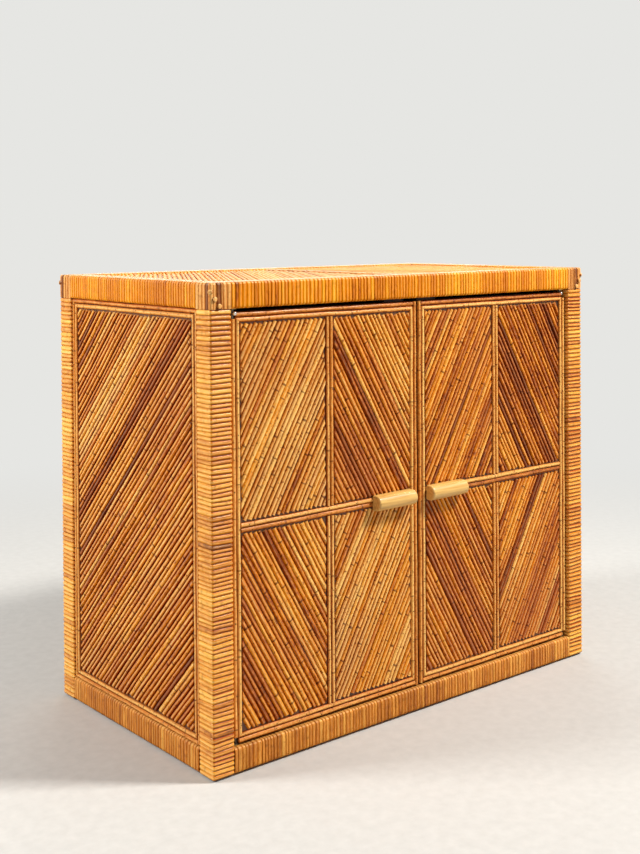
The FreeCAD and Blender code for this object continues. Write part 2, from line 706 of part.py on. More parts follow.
catches = []
for side, sign in SIDES:
    x = f"{sign} * (door_centre_gap / 2 + catch_inset + catch_length / 2)"
    span = ("catch_length", "strike_thickness", "strike_height")
    middle = (x, f"{DOOR_BACK} + strike_thickness / 2")
    strike = block(f"strike_{side}", span, middle, f"{DOOR_HIGH} - strike_drop - strike_height")
    node(strike, f"catch_strike_{side}")
    span = ("catch_length", "catch_depth", "catch_height")
    middle = (x, f"{DOOR_BACK} + strike_thickness + catch_gap + catch_depth / 2")
    catches.append(block(f"catch_{side}", span, middle, f"{TOP_RAIL_LOW} - catch_height"))
node(group("magnetic_catches", catches), "magnetic_catches")


# --- Split reeds and border strips ---------------------------------------------------
# A facing is laid out flat, with u to the right, v up and w out of its panel, and then
# set on the panel that carries it.

doc.recompute()
lay_gap = size("reed_gap")
strip_width = size("strip_width")
strip_pitch = strip_width + lay_gap
pair_width = 2 * strip_pitch


def half_round(width, height, length):
    """A half-round bar along u from the origin, its flat side down."""
    left = FreeCAD.Vector(0, -width / 2, 0)
    crest = FreeCAD.Vector(0, 0, height)
    right = FreeCAD.Vector(0, width / 2, 0)
    outline = Part.Wire([Part.Arc(left, crest, right).toShape(), Part.makeLine(right, left)])
    return Part.Face(outline).extrude(FreeCAD.Vector(length, 0, 0))


def laid(bar, start_u, start_v, angle):
    """A bar moved so that it runs from a point at an angle."""
    turn = FreeCAD.Rotation(UP, angle)
    bar.Placement = FreeCAD.Placement(FreeCAD.Vector(start_u, start_v, 0), turn)
    return bar


def reed_field(low_u, high_u, low_v, high_v, angle):
    """Half-round reeds side by side at an angle, trimmed to a rectangle."""
    pitch = size("reed_width") + lay_gap
    height = size("reed_height")
    turn = math.radians(angle)
    along_u, along_v = math.cos(turn), math.sin(turn)
    wide = high_u - low_u
    tall = high_v - low_v
    reach = (abs(along_v) * wide + abs(along_u) * tall) / 2
    length = math.hypot(wide, tall)
    corner = FreeCAD.Vector(low_u, low_v, -height)
    frame = Part.makeBox(wide, tall, 3 * height, corner)
    count = math.ceil(reach / pitch)
    reeds = []
    for number in range(-count, count + 1):
        start_u = (low_u + high_u) / 2 - number * pitch * along_v - along_u * length / 2
        start_v = (low_v + high_v) / 2 + number * pitch * along_u - along_v * length / 2
        bar = laid(half_round(size("reed_width"), height, length), start_u, start_v, angle)
        for reed in bar.common(frame).Solids:
            if reed.BoundBox.DiagonalLength > size("shortest_reed"):
                reeds.append(reed)
    return reeds


def strip(start, end, mitred=False):
    """A half-round border strip; mitred ends lean in on its left side."""
    length = math.hypot(end[0] - start[0], end[1] - start[1])
    height = size("strip_height")
    bar = half_round(strip_width, height, length)
    if mitred:
        half = strip_width / 2
        corners = ((0, -half), (length, -half), (length - strip_width, half), (strip_width, half))
        outline = [FreeCAD.Vector(u, v, -height) for u, v in corners]
        prism = Part.Face(Part.makePolygon(outline + outline[:1]))
        bar = bar.common(prism.extrude(FreeCAD.Vector(0, 0, 3 * height))).Solids[0]
    angle = math.degrees(math.atan2(end[1] - start[1], end[0] - start[0]))
    return laid(bar, start[0], start[1], angle)


def mitred_ring(low_u, high_u, low_v, high_v):
    """Four strips with mitred corners, just inside a rectangle."""
    half = strip_width / 2
    gap = lay_gap / 2
    runs = (
        ((low_u + gap, low_v + half), (high_u - gap, low_v + half)),
        ((high_u - half, low_v + gap), (high_u - half, high_v - gap)),
        ((high_u - gap, high_v - half), (low_u + gap, high_v - half)),
        ((low_u + half, high_v - gap), (low_u + half, low_v + gap)),
    )
    return [strip(start, end, mitred=True) for start, end in runs]


def pair(start, end):
    """Two strips side by side along a line."""
    span = math.hypot(end[0] - start[0], end[1] - start[1])
    side_u = -(end[1] - start[1]) / span * strip_pitch / 2
    side_v = (end[0] - start[0]) / span * strip_pitch / 2
    return [
        strip(
            (start[0] + sign * side_u, start[1] + sign * side_v),
            (end[0] + sign * side_u, end[1] + sign * side_v),
        )
        for _, sign in SIDES
    ]


def facing(name, solids, origin, u_axis, v_axis):
    """Puts strips or reeds that were laid out flat on their panel."""
    thing = doc.addObject("Part::Feature", name)
    thing.Shape = Part.makeCompound(solids)
    turn = FreeCAD.Rotation(u_axis, v_axis, u_axis.cross(v_axis), "XYZ")
    thing.Placement = FreeCAD.Placement(FreeCAD.Vector(*origin), turn)
    return thing


# The sides: one field that climbs towards the front, inside two mitred borders.
for side, sign in SIDES:
    box = side_panels[side].Shape.BoundBox
    half = box.YLength / 2
    low, high = box.ZMin, box.ZMax
    face = box.XMin if sign < 0 else box.XMax
    place = ((face, box.Center.y, 0), sign * BACKWARD, UP)
    rings = mitred_ring(-half, half, low, high)
    inset = strip_pitch
    rings += mitred_ring(-half + inset, half - inset, low + inset, high - inset)
    angle = size("side_reed_angle") if side == "left" else 180 - size("side_reed_angle")
    inset = pair_width
    field = reed_field(-half + inset, half - inset, low + inset, high - inset, angle)
    node(facing(f"side_rings_{side}", rings, *place), f"side_trim_{side}")
    node(facing(f"side_field_{side}", field, *place), f"side_reeds_{side}")

# The top: two fields that lean to a pair of strips down the middle.
box = top_panel.Shape.BoundBox
half = box.YLength / 2
place = ((0, box.Center.y, box.ZMax), ACROSS, BACKWARD)
field = []
for side, sign in SIDES:
    low_u, high_u = sorted((sign * pair_width / 2, sign * box.XMax))
    angle = size("top_reed_angle") if side == "left" else 180 - size("top_reed_angle")
    field += reed_field(low_u, high_u, -half, half, angle)
node(facing("top_middle", pair((0, -half), (0, half)), *place), "top_trim")
node(facing("top_field", field, *place), "top_reeds")


def door_trim(low_u, high_u, low_v, high_v, sign):
    """Border strips that leave the pins' notches open, and strips between the quarters."""
    half = strip_width / 2
    hinge_u, free_u = (high_u, low_u) if sign > 0 else (low_u, high_u)
    notch_v = size("notch_height")
    hinge_line = hinge_u - sign * half
    free_line = free_u + sign * half
    trim = [
        strip((hinge_line, low_v + notch_v), (hinge_line, high_v - notch_v)),
        strip((free_line, low_v), (free_line, high_v)),
    ]
    near, far = sorted((hinge_u - sign * size("notch_width"), free_u + sign * strip_pitch))
    for line in (low_v + half, high_v - half):
        trim.append(strip((near, line), (far, line)))
    inset = strip_pitch
    trim += mitred_ring(low_u + inset, high_u - inset, low_v + inset, high_v - inset)
    middle_u = (low_u + high_u) / 2
    middle_v = size("door_middle_height")
    trim += pair((low_u + pair_width, middle_v), (high_u - pair_width, middle_v))
    trim += pair((middle_u, low_v + pair_width), (middle_u, middle_v - strip_pitch))
    trim += pair((middle_u, middle_v + strip_pitch), (middle_u, high_v - pair_width))
    return trim


def door_fields(low_u, high_u, low_v, high_v):
    """Four fields of reeds that lean to the middle above and away from it below."""
    middle_u = (low_u + high_u) / 2
    middle_v = size("door_middle_height")
    angle = size("door_reed_angle")
    lower = (low_v + pair_width, middle_v - strip_pitch)
    upper = (middle_v + strip_pitch, high_v - pair_width)
    left = (low_u + pair_width, middle_u - strip_pitch)
    right = (middle_u + strip_pitch, high_u - pair_width)
    return (
        reed_field(*left, *upper, angle)
        + reed_field(*right, *upper, 180 - angle)
        + reed_field(*left, *lower, 180 - angle)
        + reed_field(*right, *lower, angle)
    )


for side, sign in SIDES:
    box = door_panels[side].Shape.BoundBox
    place = ((0, box.YMin, 0), ACROSS, UP)
    extent = (box.XMin, box.XMax, box.ZMin, box.ZMax)
    trim = facing(f"door_strips_{side}", door_trim(*extent, sign), *place)
    field = facing(f"door_field_{side}", door_fields(*extent), *place)
    node(cut(f"door_strips_{side}_bored", trim, handle_holes[side]), f"door_trim_{side}")
    node(cut(f"door_field_{side}_bored", field, handle_holes[side]), f"door_reeds_{side}")


# --- Check and write -----------------------------------------------------------------

doc.recompute()
for thing in doc.Objects:
    if {"Invalid", "Error"} & set(thing.State):
        raise RuntimeError(f"{thing.Label} did not rebuild: {thing.State}")
for thing in nodes:
    if thing.Shape.isNull() or not thing.Shape.isValid() or not thing.Shape.Solids:
        raise RuntimeError(f"{thing.Label} is not a valid solid")

os.makedirs("parts", exist_ok=True)
for thing in nodes:
    thing.Shape.exportStep(os.path.join("parts", thing.Label + ".step"))
print(len(nodes), "nodes,", sum(len(thing.Shape.Solids) for thing in nodes), "solids")
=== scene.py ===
"""Looks of the record cabinet: cane bindings, split reeds, strips, pegs, light and camera."""

import math
from typing import NamedTuple

import bpy
import numpy as np
from mathutils import Matrix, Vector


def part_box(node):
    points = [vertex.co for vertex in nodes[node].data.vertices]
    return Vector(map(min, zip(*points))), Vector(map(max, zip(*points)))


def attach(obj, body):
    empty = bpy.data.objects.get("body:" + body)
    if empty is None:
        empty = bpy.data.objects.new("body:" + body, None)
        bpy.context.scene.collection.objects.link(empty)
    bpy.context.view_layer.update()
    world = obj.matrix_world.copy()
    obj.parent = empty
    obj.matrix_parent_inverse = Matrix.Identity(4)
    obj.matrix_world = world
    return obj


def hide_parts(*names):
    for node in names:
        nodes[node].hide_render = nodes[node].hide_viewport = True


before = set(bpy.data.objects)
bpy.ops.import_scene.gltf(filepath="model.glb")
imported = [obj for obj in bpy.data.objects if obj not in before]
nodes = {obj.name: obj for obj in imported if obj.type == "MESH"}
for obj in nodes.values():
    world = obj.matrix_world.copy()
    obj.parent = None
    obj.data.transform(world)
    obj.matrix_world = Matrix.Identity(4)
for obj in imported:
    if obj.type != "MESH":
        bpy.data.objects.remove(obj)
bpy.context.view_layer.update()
rng = np.random.default_rng(11)

MM = 0.001
FULL_TURN = 2 * math.pi
QUARTER_TURN = math.pi / 2
X = np.array([1.0, 0.0, 0.0])
Y = np.array([0.0, 1.0, 0.0])
Z = np.array([0.0, 0.0, 1.0])
SIDES = (("left", -1), ("right", 1))
CORNERS = ("front_left", "front_right", "back_left", "back_right")
LEVELS = ("top", "bottom")


def corners(node):
    """The lowest and the highest corner of a CAD node."""
    low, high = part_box(node)
    return np.array(low), np.array(high)


def put(name, data):
    """A new object in the scene."""
    thing = bpy.data.objects.new(name, data)
    bpy.context.scene.collection.objects.link(thing)
    return thing


def within(tone):
    """A tone kept off both ends of its colour ramp."""
    return np.clip(tone, 0.02, 0.98)


# --- Meshes ---------------------------------------------------------------------------


class Piece:
    """The closed strands of one piece, and each corner's place along and across its strand."""

    def __init__(self):
        self.points = []
        self.faces = []
        self.places = []
        self.tones = []
        self.chances = []
        self.total = 0

    def add(self, rings, along, across, tone, loop=False):
        """A strand through rings of points, closed into a loop or with flat ends."""
        count, sides, _ = rings.shape
        steps = count if loop else count - 1
        along = np.broadcast_to(along, (steps + 1, sides))
        across = np.broadcast_to(across, (steps + 1, sides))
        ring = np.repeat(np.arange(steps), sides)
        corner = np.tile(np.arange(sides), steps)
        after = (corner + 1) % sides
        spots = ((ring, corner), (ring, after), (ring + 1, after), (ring + 1, corner))
        quads = np.stack([row % count * sides + column for row, column in spots], 1)
        places = np.stack([np.stack([along[spot], across[spot]], 1) for spot in spots], 1)
        order = np.arange(sides)
        ends = [] if loop else [(0, order[::-1]), (count - 1, order)]
        flat = rings.reshape(-1, 3)
        one, two, three, four = (flat - flat.mean(0))[quads.T]
        volume = (np.cross(two, three) * one).sum() + (np.cross(three, four) * one).sum()
        if volume < 0:
            quads = quads[:, ::-1]
            places = places[:, ::-1]
            ends = [(end, order[::-1]) for end, order in ends]
        self.faces += (quads + self.total).tolist()
        self.places.append(places.reshape(-1, 2))
        for end, order in ends:
            self.faces.append((end * sides + order + self.total).tolist())
            self.places.append(np.stack([along[end, order], across[end, order]], 1))
        self.points.append(flat)
        self.tones.append(np.full(len(flat), tone))
        self.chances.append(np.full(len(flat), rng.uniform()))
        self.total += len(flat)

    def make(self, name, material, slot, body, *replaced):
        """The piece as an object that rides on a body and stands in for CAD nodes."""
        mesh = bpy.data.meshes.new(name)
        mesh.from_pydata(np.concatenate(self.points).tolist(), [], self.faces)
        layer = mesh.uv_layers.new(name="strand")
        layer.data.foreach_set("uv", np.concatenate(self.places).astype(np.float32).ravel())
        for label, values in (("tone", self.tones), ("chance", self.chances)):
            attribute = mesh.attributes.new(label, "FLOAT", "POINT")
            attribute.data.foreach_set("value", np.concatenate(values).astype(np.float32))
        mesh.shade_smooth()
        mesh.set_sharp_from_angle(angle=math.radians(55))
        mesh.materials.append(material)
        thing = put(name, mesh)
        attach(thing, body)
        if replaced:
            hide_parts(*replaced)


def half_round(width, height):
    """Offsets across and heights of a half-round section, its flat side down."""
    arc_points = 9
    turn = np.linspace(math.pi, 0, arc_points)
    return np.cos(turn) * width / 2, np.sin(turn) * height


def peel(width, height):
    """Offsets across and heights of a flat peel section with soft edges."""
    offsets = np.array([-0.5, -0.495, -0.45, -0.25, 0.25, 0.45, 0.495, 0.5]) * width
    heights = np.array([0.0, 0.66, 0.88, 1.0, 1.0, 0.88, 0.66, 0.0]) * height
    return offsets, heights


def band(width, height):
    """Offsets across and heights of a flat band with a softly domed top."""
    offsets, heights = half_round(width, height * 0.5)
    offsets = np.concatenate([[-width / 2], offsets, [width / 2]])
    heights = np.concatenate([[0.0], height * 0.5 + heights, [0.0]])
    return offsets, heights


def shares(offsets):
    """How far across its strand each line of a section lies, from 0 to 1."""
    return (offsets - offsets[0]) / (offsets[-1] - offsets[0])


def into_space(place, flat, rise):
    """Points from two coordinates and a height, along the three axes of a place."""
    origin, first, second, third = place
    return origin + flat[..., :1] * first + flat[..., 1:] * second + rise[..., None] * third


def moods(count, uneven, swing):
    """Tones of neighbouring strands: some drift together, some stand out."""
    usual = 0.58
    periods = (3.1, 7.3, 17.0)
    steps = np.arange(count)
    drift = np.zeros(count)
    for period in periods:
        drift += np.sin(steps / period + rng.uniform(0, FULL_TURN)) / len(periods)
    return within(usual + swing * drift + rng.normal(0, uneven, count))


# --- Reeds and strips, laid flat on a panel -------------------------------------------

PITCH = 7.1 * MM  # from one strip or reed to the next
STRIP_WIDTH = 7.0 * MM
STRIP_HEIGHT = 3.6 * MM
REED_HEIGHT = 3.2 * MM
REED_INTERNODES = (0.08, 0.2)  # shortest and longest stretch between two joints
STRIP_INTERNODES = (0.07, 0.16)
# Lengths of the waves in a strand's path (the first two), height and width.
WAVES = np.array([[31], [13], [24], [45]]) * MM
# Height over the panel and radius of a nail head's rings, on the crest of a strip.
NAIL_HEAD = np.array([(2.6, 0.75), (3.62, 0.75), (3.78, 0.55), (3.84, 0.2)]) * MM
NAIL_FIRST = (8 * MM, 20 * MM)  # least and most from a strip's start to its first nail
NAIL_APART = (40 * MM, 62 * MM)  # least and most from one nail to the next
NAIL_CLEAR = 7 * MM  # least from a nail to the strip's end
NAIL_ASIDE = 0.9 * MM  # most that a nail lies off the strip's middle


def joints(begin, length, unit, phase):
    """Where the joints of the rattan fall along a strand, clear of its ends."""
    clear = 4 * MM
    first = math.ceil(begin / unit + phase - 0.5)
    places = (np.arange(first, first + length / unit + 1) + 0.5 - phase) * unit - begin
    return places[(places > clear) & (places < length - clear)]


def stops_along(length, knots):
    """Where a strand has its rings, closer at its joints, and how far each of them swells."""
    spacing = 11 * MM
    reach = 2.2 * MM
    free = 3.2 * MM
    bulge = 1.5 * MM
    plain = np.linspace(0, length, max(2, int(length / spacing) + 1))
    if not len(knots):
        return plain, np.zeros(len(plain))
    keep = np.abs(plain[:, None] - knots).min(1) > free
    keep[[0, -1]] = True
    near = np.concatenate([knots - reach, knots, knots + reach])
    stops = np.sort(np.concatenate([plain[keep], near]))
    apart = np.abs(stops[:, None] - knots).min(1)
    return stops, np.exp(-((apart / bulge) ** 2))


def lath(piece, place, start, angle, section, ends, tone, internodes, swell=0.1, swing=1.0):
    """A strand laid from a point at an angle; ends are the cuts of each line along it.

    Swell is how much thicker it gets at its joints, and swing its share of the common bend."""
    offsets, heights = section
    enter, leave = ends
    length = leave.mean() - enter.mean()
    unit = rng.uniform(*internodes)
    phase = rng.uniform(0, 1)
    stops, bump = stops_along(length, joints(enter.mean(), length, unit, phase))
    share = stops / length
    along = enter + share[:, None] * (leave - enter)
    slow, quick, tall, wide = np.sin(stops / WAVES + rng.uniform(0, FULL_TURN, (4, 1)))
    ease = np.minimum(1, 16 * share * (1 - share))
    sway = 0.16 * MM * ease * (slow + quick)
    taller = 1 + swell * bump + 0.05 * (tall - 1)
    wider = 1 + 0.6 * swell * bump + 0.04 * (wide - 1)
    across = offsets * wider[:, None] + sway[:, None]
    rise = heights * taller[:, None]
    direction = np.array([math.cos(angle), math.sin(angle)])
    side = np.array([-direction[1], direction[0]])
    flat = np.array(start) + along[..., None] * direction + across[..., None] * side
    # Neighbours share a slow bend, as laid by hand.
    bend = np.sin(flat[..., 0] / 0.071 + 1.3) * np.sin(flat[..., 1] / 0.083 + 0.4)
    flat = flat + (0.5 * MM * swing * bend * ease[:, None])[..., None] * side
    piece.add(into_space(place, flat, rise), along / unit + phase, shares(offsets), tone)


def cut_ends(lines, direction, centre, span):
    """Where each line of a reed starts and stops in a rectangle, cut a little raggedly."""
    limits = np.stack([(centre + sign * span / 2 - lines) / direction for sign in (-1, 1)])
    enter = limits.min(0).max(1)
    leave = limits.max(0).min(1)
    # Cut partly square to the reed, so that a dark corner is left beside the strip.
    square = rng.uniform(2.0, 6.0, 2) * MM
    enter = enter + np.minimum(enter.max() - enter, square[0])
    leave = leave - np.minimum(leave - leave.min(), square[1])
    # Each end stops a little short of the strip, and a few of them more than that.
    short = rng.uniform(0.1, 0.9, 2) + (rng.uniform(size=2) < 0.12) * rng.uniform(0.5, 2.5, 2)
    return enter + short[0] * MM, leave - short[1] * MM


def reed_field(piece, place, across, up, degrees, thick=REED_HEIGHT, paler=0.0):
    """Split reeds side by side at an angle, in the rectangle between two ranges."""
    gap = 0.08 * MM
    border = 0.6 * MM
    least_width = 2.5 * MM
    least_length = 0.3 * MM
    uneven = 0.95 * MM
    turn = math.radians(degrees)
    direction = np.array([math.cos(turn), math.sin(turn)])
    side = np.array([-direction[1], direction[0]])
    span = np.array([across[1] - across[0], up[1] - up[0]])
    centre = np.array([across[0] + across[1], up[0] + up[1]]) / 2
    reach = (np.abs(side) * span).sum() / 2
    count = math.ceil(reach / PITCH)
    seams = (np.arange(-count, count + 2) - 0.5) * PITCH
    seams += rng.uniform(-uneven, uneven, len(seams))
    # A few reeds are much darker than the rest.
    dark = rng.uniform(size=len(seams)) < 0.07
    tones = np.clip(moods(len(seams), 0.17, 0.17) + paler - 0.35 * dark, 0.0, 1.0)
    for number in range(len(seams) - 1):
        # Here and there a reed stands a little off its neighbour.
        apart = gap + (rng.uniform() < 0.15) * rng.uniform(0.2, 0.8) * MM
        low = max(seams[number] + apart, -reach + border)
        high = min(seams[number + 1] - gap, reach - border)
        width = high - low
        if width < least_width:
            continue
        section = half_round(width, min(thick, width * 0.46) * rng.uniform(0.68, 1.04))
        middle = (low + high) / 2
        lines = centre + (middle + section[0])[:, None] * side
        enter, leave = cut_ends(lines, direction, centre, span)
        if (leave - enter).min() < least_length:
            continue
        start = centre + middle * side
        lath(piece, place, start, turn, section, (enter, leave), tones[number], REED_INTERNODES)


def nail(piece, place, spot):
    """A small domed nail head on the crest of a strip."""
    turn = np.linspace(0, FULL_TURN, 8, endpoint=False)
    circle = np.stack([np.cos(turn), np.sin(turn)], 1)
    heights, radii = NAIL_HEAD.T
    flat = spot + radii[:, None, None] * circle
    rise = np.broadcast_to(heights[:, None], flat.shape[:2])
    piece.add(into_space(place, flat, rise), np.arange(4)[:, None] / 4, turn / 7, 0.5)


def strip(kit, start, end, tone, mitred=False):
    """A half-round border strip, and the nails that hold it; mitred ends lean in on its left.
"""
    trim, nails, place = kit
    gap = 0.15 * MM
    run = np.array(end) - np.array(start)
    length = math.hypot(*run)
    angle = math.atan2(run[1], run[0])
    section = half_round(STRIP_WIDTH, STRIP_HEIGHT)
    lean = mitred * (section[0] - section[0][0])
    ends = (lean + gap, length - lean - gap)
    tone = within(rng.normal(tone, 0.12))
    lath(trim, place, start, angle, section, ends, tone, STRIP_INTERNODES, swell=0.06, swing=0.0)
    direction = run / length
    side = np.array([-direction[1], direction[0]])
    along = rng.uniform(*NAIL_FIRST)
    while along < length - NAIL_CLEAR:
        aside = rng.uniform(-NAIL_ASIDE, NAIL_ASIDE)
        nail(nails, place, np.array(start) + along * direction + aside * side)
        along += rng.uniform(*NAIL_APART)


def inside(span, margin):
    """A range made shorter by a margin at both ends."""
    return span[0] + margin, span[1] - margin


def mitred_ring(kit, across, up, tone):
    """Four strips with mitred corners, just inside the rectangle between two ranges."""
    gap = 0.05 * MM
    left, right = inside(across, gap)
    bottom, top = inside(up, gap)
    left_line, right_line = inside(across, STRIP_WIDTH / 2)
    bottom_line, top_line = inside(up, STRIP_WIDTH / 2)
    strip(kit, (left, bottom_line), (right, bottom_line), tone, mitred=True)
    strip(kit, (right_line, bottom), (right_line, top), tone, mitred=True)
    strip(kit, (right, top_line), (left, top_line), tone, mitred=True)
    strip(kit, (left_line, top), (left_line, bottom), tone, mitred=True)


def pair(kit, start, end, tones):
    """Two strips side by side along an upright or level line, the right or lower one first."""
    run = np.array(end) - np.array(start)
    side = np.array([-run[1], run[0]]) / math.hypot(*run) * PITCH / 2
    for sign, tone in zip((-1, 1), tones):
        strip(kit, np.array(start) + sign * side, np.array(end) + sign * side, tone)


# --- Cane wound round posts and rails -------------------------------------------------

INTERNODE = 0.24  # length of cane between two of its marks


class Winding(NamedTuple):
    """How cane is wound round a post or rail."""

    profile: object  # the function that gives a turn's section
    depth: float  # how far a turn stands out
    radius: float  # of the rounded edges
    widths: tuple  # the narrowest and the widest turn
    margin: float  # left free at each end
    swing: float  # how far the tones drift together
    wander: float  # how far the line between two turns strays
    flatter: float  # relief of the turns on the faces that the first axis meets, 1 being full


POST_WINDING = Winding(
    profile=half_round,
    depth=2.9 * MM,
    radius=3.1 * MM,
    widths=(5.4 * MM, 7.6 * MM),
    margin=0.2 * MM,
    swing=0.2,
    wander=0.26 * MM,
    flatter=0.45,
)
RAIL_WINDING = Winding(
    profile=peel,
    depth=1.5 * MM,
    radius=4.0 * MM,
    widths=(4.6 * MM, 8.0 * MM),
    margin=0.15 * MM,
    swing=0.12,
    wander=0.08 * MM,
    flatter=1.0,
)


def hoop(half_a, half_b, radius):
    """Anchors and outward directions round a rounded rectangle."""
    a, b = half_a - radius, half_b - radius
    spots = np.array([(a, b), (-a, b), (-a, -b), (a, -b)])
    anchors = []
    normals = []
    for quarter in range(4):
        first = quarter * QUARTER_TURN
        for share in (0.25, 0.5, 0.75):
            anchors.append(spots[quarter - 1] * (1 - share) + spots[quarter] * share)
            normals.append((math.cos(first), math.sin(first)))
        for turn in np.linspace(first, first + QUARTER_TURN, 5):
            anchors.append(spots[quarter])
            normals.append((math.cos(turn), math.sin(turn)))
    return np.array(anchors), np.array(normals)


def fill(length, low, high):
    """Widths between two bounds that together fill a length."""
    widths = []
    while sum(widths) < length:
        widths.append(rng.uniform(low, high))
    return np.array(widths) * length / sum(widths)


def stray(around, count, wander):
    """How far each seam strays at each angle round the section; the outer seams are level."""
    waves = rng.normal(0, 1, (4, count))
    waves[:2] = (waves[:2] + np.roll(waves[:2], 1, 1) + np.roll(waves[:2], 2, 1)) * 0.8
    waves[2:] *= 0.3
    waves[:, [0, -1]] = 0
    shapes = (np.sin(around), np.cos(around), np.sin(2 * around), np.cos(2 * around))
    return wander * sum(wave[:, None] * shape for wave, shape in zip(waves, shapes))


def wind(node, axes, style, uneven):
    """Turns of cane in the box of a sleeve, each one closed round the section.

    They follow each other along the third axis, and each one's seam is on the side that
    the first axis points to."""
    first, second, run = axes
    low, high = corners(node)
    span = high - low
    place = ((low + high) / 2 * (1 - run), first, second, run)
    widths = fill(run @ span - 2 * style.margin, *style.widths)
    tones = moods(len(widths), uneven, style.swing)
    anchors, normals = hoop(abs(first @ span) / 2, abs(second @ span) / 2, style.radius)
    outline = anchors + normals * style.radius
    steps = np.hypot(*(np.roll(outline, -1, 0) - outline).T)
    along = np.concatenate([[0], np.cumsum(steps)])[:, None]
    around = np.arctan2(outline[:, 1], outline[:, 0])
    offsets, heights = style.profile(1.0, style.depth)
    relief = style.flatter + (1 - style.flatter) * np.abs(normals[:, 1])
    lateral = 0.5 + offsets * np.append(relief, relief[0])[:, None]
    seams = run @ low + style.margin + np.concatenate([[0], np.cumsum(widths)])[:, None]
    seams = seams + stray(around, len(seams), style.wander)
    piece = Piece()
    for below, above, tone in zip(seams, seams[1:], tones):
        gap = (0.1 + (rng.uniform() < 0.08) * rng.uniform(0.2, 0.5)) * MM
        lift = rng.uniform(-0.18, 0.08) * MM
        grow = style.radius + (heights - style.depth) * relief[:, None] + lift
        flat = anchors[:, None, :] + normals[:, None, :] * grow[..., None]
        level = (below + above)[:, None] / 2 + offsets * (above - below - gap)[:, None]
        marks = along / INTERNODE + rng.uniform(0, 1)
        piece.add(into_space(place, flat, level), marks, lateral, tone, loop=True)
    return piece


# --- Post tops: upright strips that bend over to a mitre, and pegs --------------------

CAP_RADIUS = 4.0 * MM
CAP_THICK = 1.5 * MM
CAP_TALL = 36 * MM
# Start, end (in mm from the post's edge) and tone of the strips on a post's two outer faces.
FRONT_RUN = (
    (4.2, 10.6, 0.55),
    (11.0, 18.0, 0.05),
    (18.2, 21.0, 0.5),
    (21.1, 27.9, 0.6),
    (28.0, 34.9, 0.55),
)
SIDE_RUN = ((4.2, 11.2, 0.0), (11.5, 18.9, 0.7), (19.1, 26.8, 0.6), (27.0, 34.9, 0.7))
# Place along and radius of the rings of the round strip up a post's edge, of the dark
# collar round a peg, painted shade where it sits in the post, and of the peg's pale end.
EDGE_ROD = MM * np.array(
    [(0.3, 3.1), (12, 3.2), (24, 3.1), (32.4, 3.2), (34.4, 2.8), (35.4, 2.0), (35.8, 0.9)]
)
PEG_SHADE_RING = MM * np.array([(-8, 3.5), (1.3, 3.5), (1.5, 3.3)])
PEG_END = MM * np.array([(1.0, 3.3), (1.9, 3.3), (2.3, 2.9), (2.45, 2.0), (2.5, 0.5)])
EDGE_INSET = 3.2 * MM
PEG_TOP = 12.5 * MM  # from the post's top down to the first peg
PEG_DOWN = 9.5 * MM  # from one peg to the next, downwards
PEG_ASIDE = 7.2 * MM  # from one peg to the next, away from the edge
PEG_SUNK = 0.4 * MM  # how much deeper the peg at the edge lies


def cap_strip(piece, corner, out, aside, start, stop, tone):
    """A strip up the outer face of a post's top that bends over it to the mitre."""
    offsets, heights = band(stop - start, CAP_THICK)
    across = (start + stop) / 2 + offsets
    lift = CAP_RADIUS - CAP_THICK + heights
    upright = CAP_TALL - CAP_RADIUS
    none = np.zeros(len(across))

    def ring(rise, angle, inwards):
        """Points at a height on the face, bent over by an angle and then moved inwards."""
        spot = corner + aside * across[:, None] - out * (CAP_RADIUS + inwards[:, None]) + Z * rise
        return spot + (out * math.cos(angle) + Z * math.sin(angle)) * lift[:, None]

    rings = []
    along = []
    for height in np.linspace(0.2 * MM, upright, 4):
        rings.append(ring(height - CAP_TALL, 0, none))
        along.append(none + height)
    for angle in np.linspace(0, QUARTER_TURN, 7)[1:]:
        rings.append(ring(-CAP_RADIUS, angle, none))
        along.append(none + upright + angle * CAP_RADIUS)
    for share in np.linspace(0, 1, 5)[1:]:
        inwards = share * (across - CAP_RADIUS)
        rings.append(ring(-CAP_RADIUS, QUARTER_TURN, inwards))
        along.append(upright + QUARTER_TURN * CAP_RADIUS + inwards)
    marks = np.array(along) / INTERNODE + rng.uniform(0, 1)
    piece.add(np.array(rings), marks, shares(offsets), tone)


def rod(piece, centre, direction, levels, tone):
    """A turned rod: rings at (place along, radius)."""
    facets = 14
    first = np.cross(direction, Z)
    if np.linalg.norm(first) < 0.1:
        first = X
    first = first / np.linalg.norm(first)
    second = np.cross(direction, first)
    turn = np.linspace(0, FULL_TURN, facets, endpoint=False)
    spoke = np.cos(turn)[:, None] * first + np.sin(turn)[:, None] * second
    rings = np.array([centre + direction * place + spoke * radius for place, radius in levels])
    along = np.array([place for place, _ in levels])[:, None] / INTERNODE
    piece.add(rings, along + rng.uniform(0, 1), np.abs(turn / math.pi - 1) * 0.6 + 0.2, tone)


def cap_post(caps, corner, side, inward):
    """The strips over one post's top, and the round one up its edge."""
    for out, aside, run in ((-inward * Y, -side * X, FRONT_RUN), (side * X, inward * Y, SIDE_RUN)):
        for start, stop, tone in run:
            tone = within(tone + rng.normal(0, 0.06))
            cap_strip(caps, corner, out, aside, start * MM, stop * MM, tone)
    foot = corner + (-side * X + inward * Y) * EDGE_INSET - Z * CAP_TALL
    rod(caps, foot, Z, EDGE_ROD, tone=0.65)


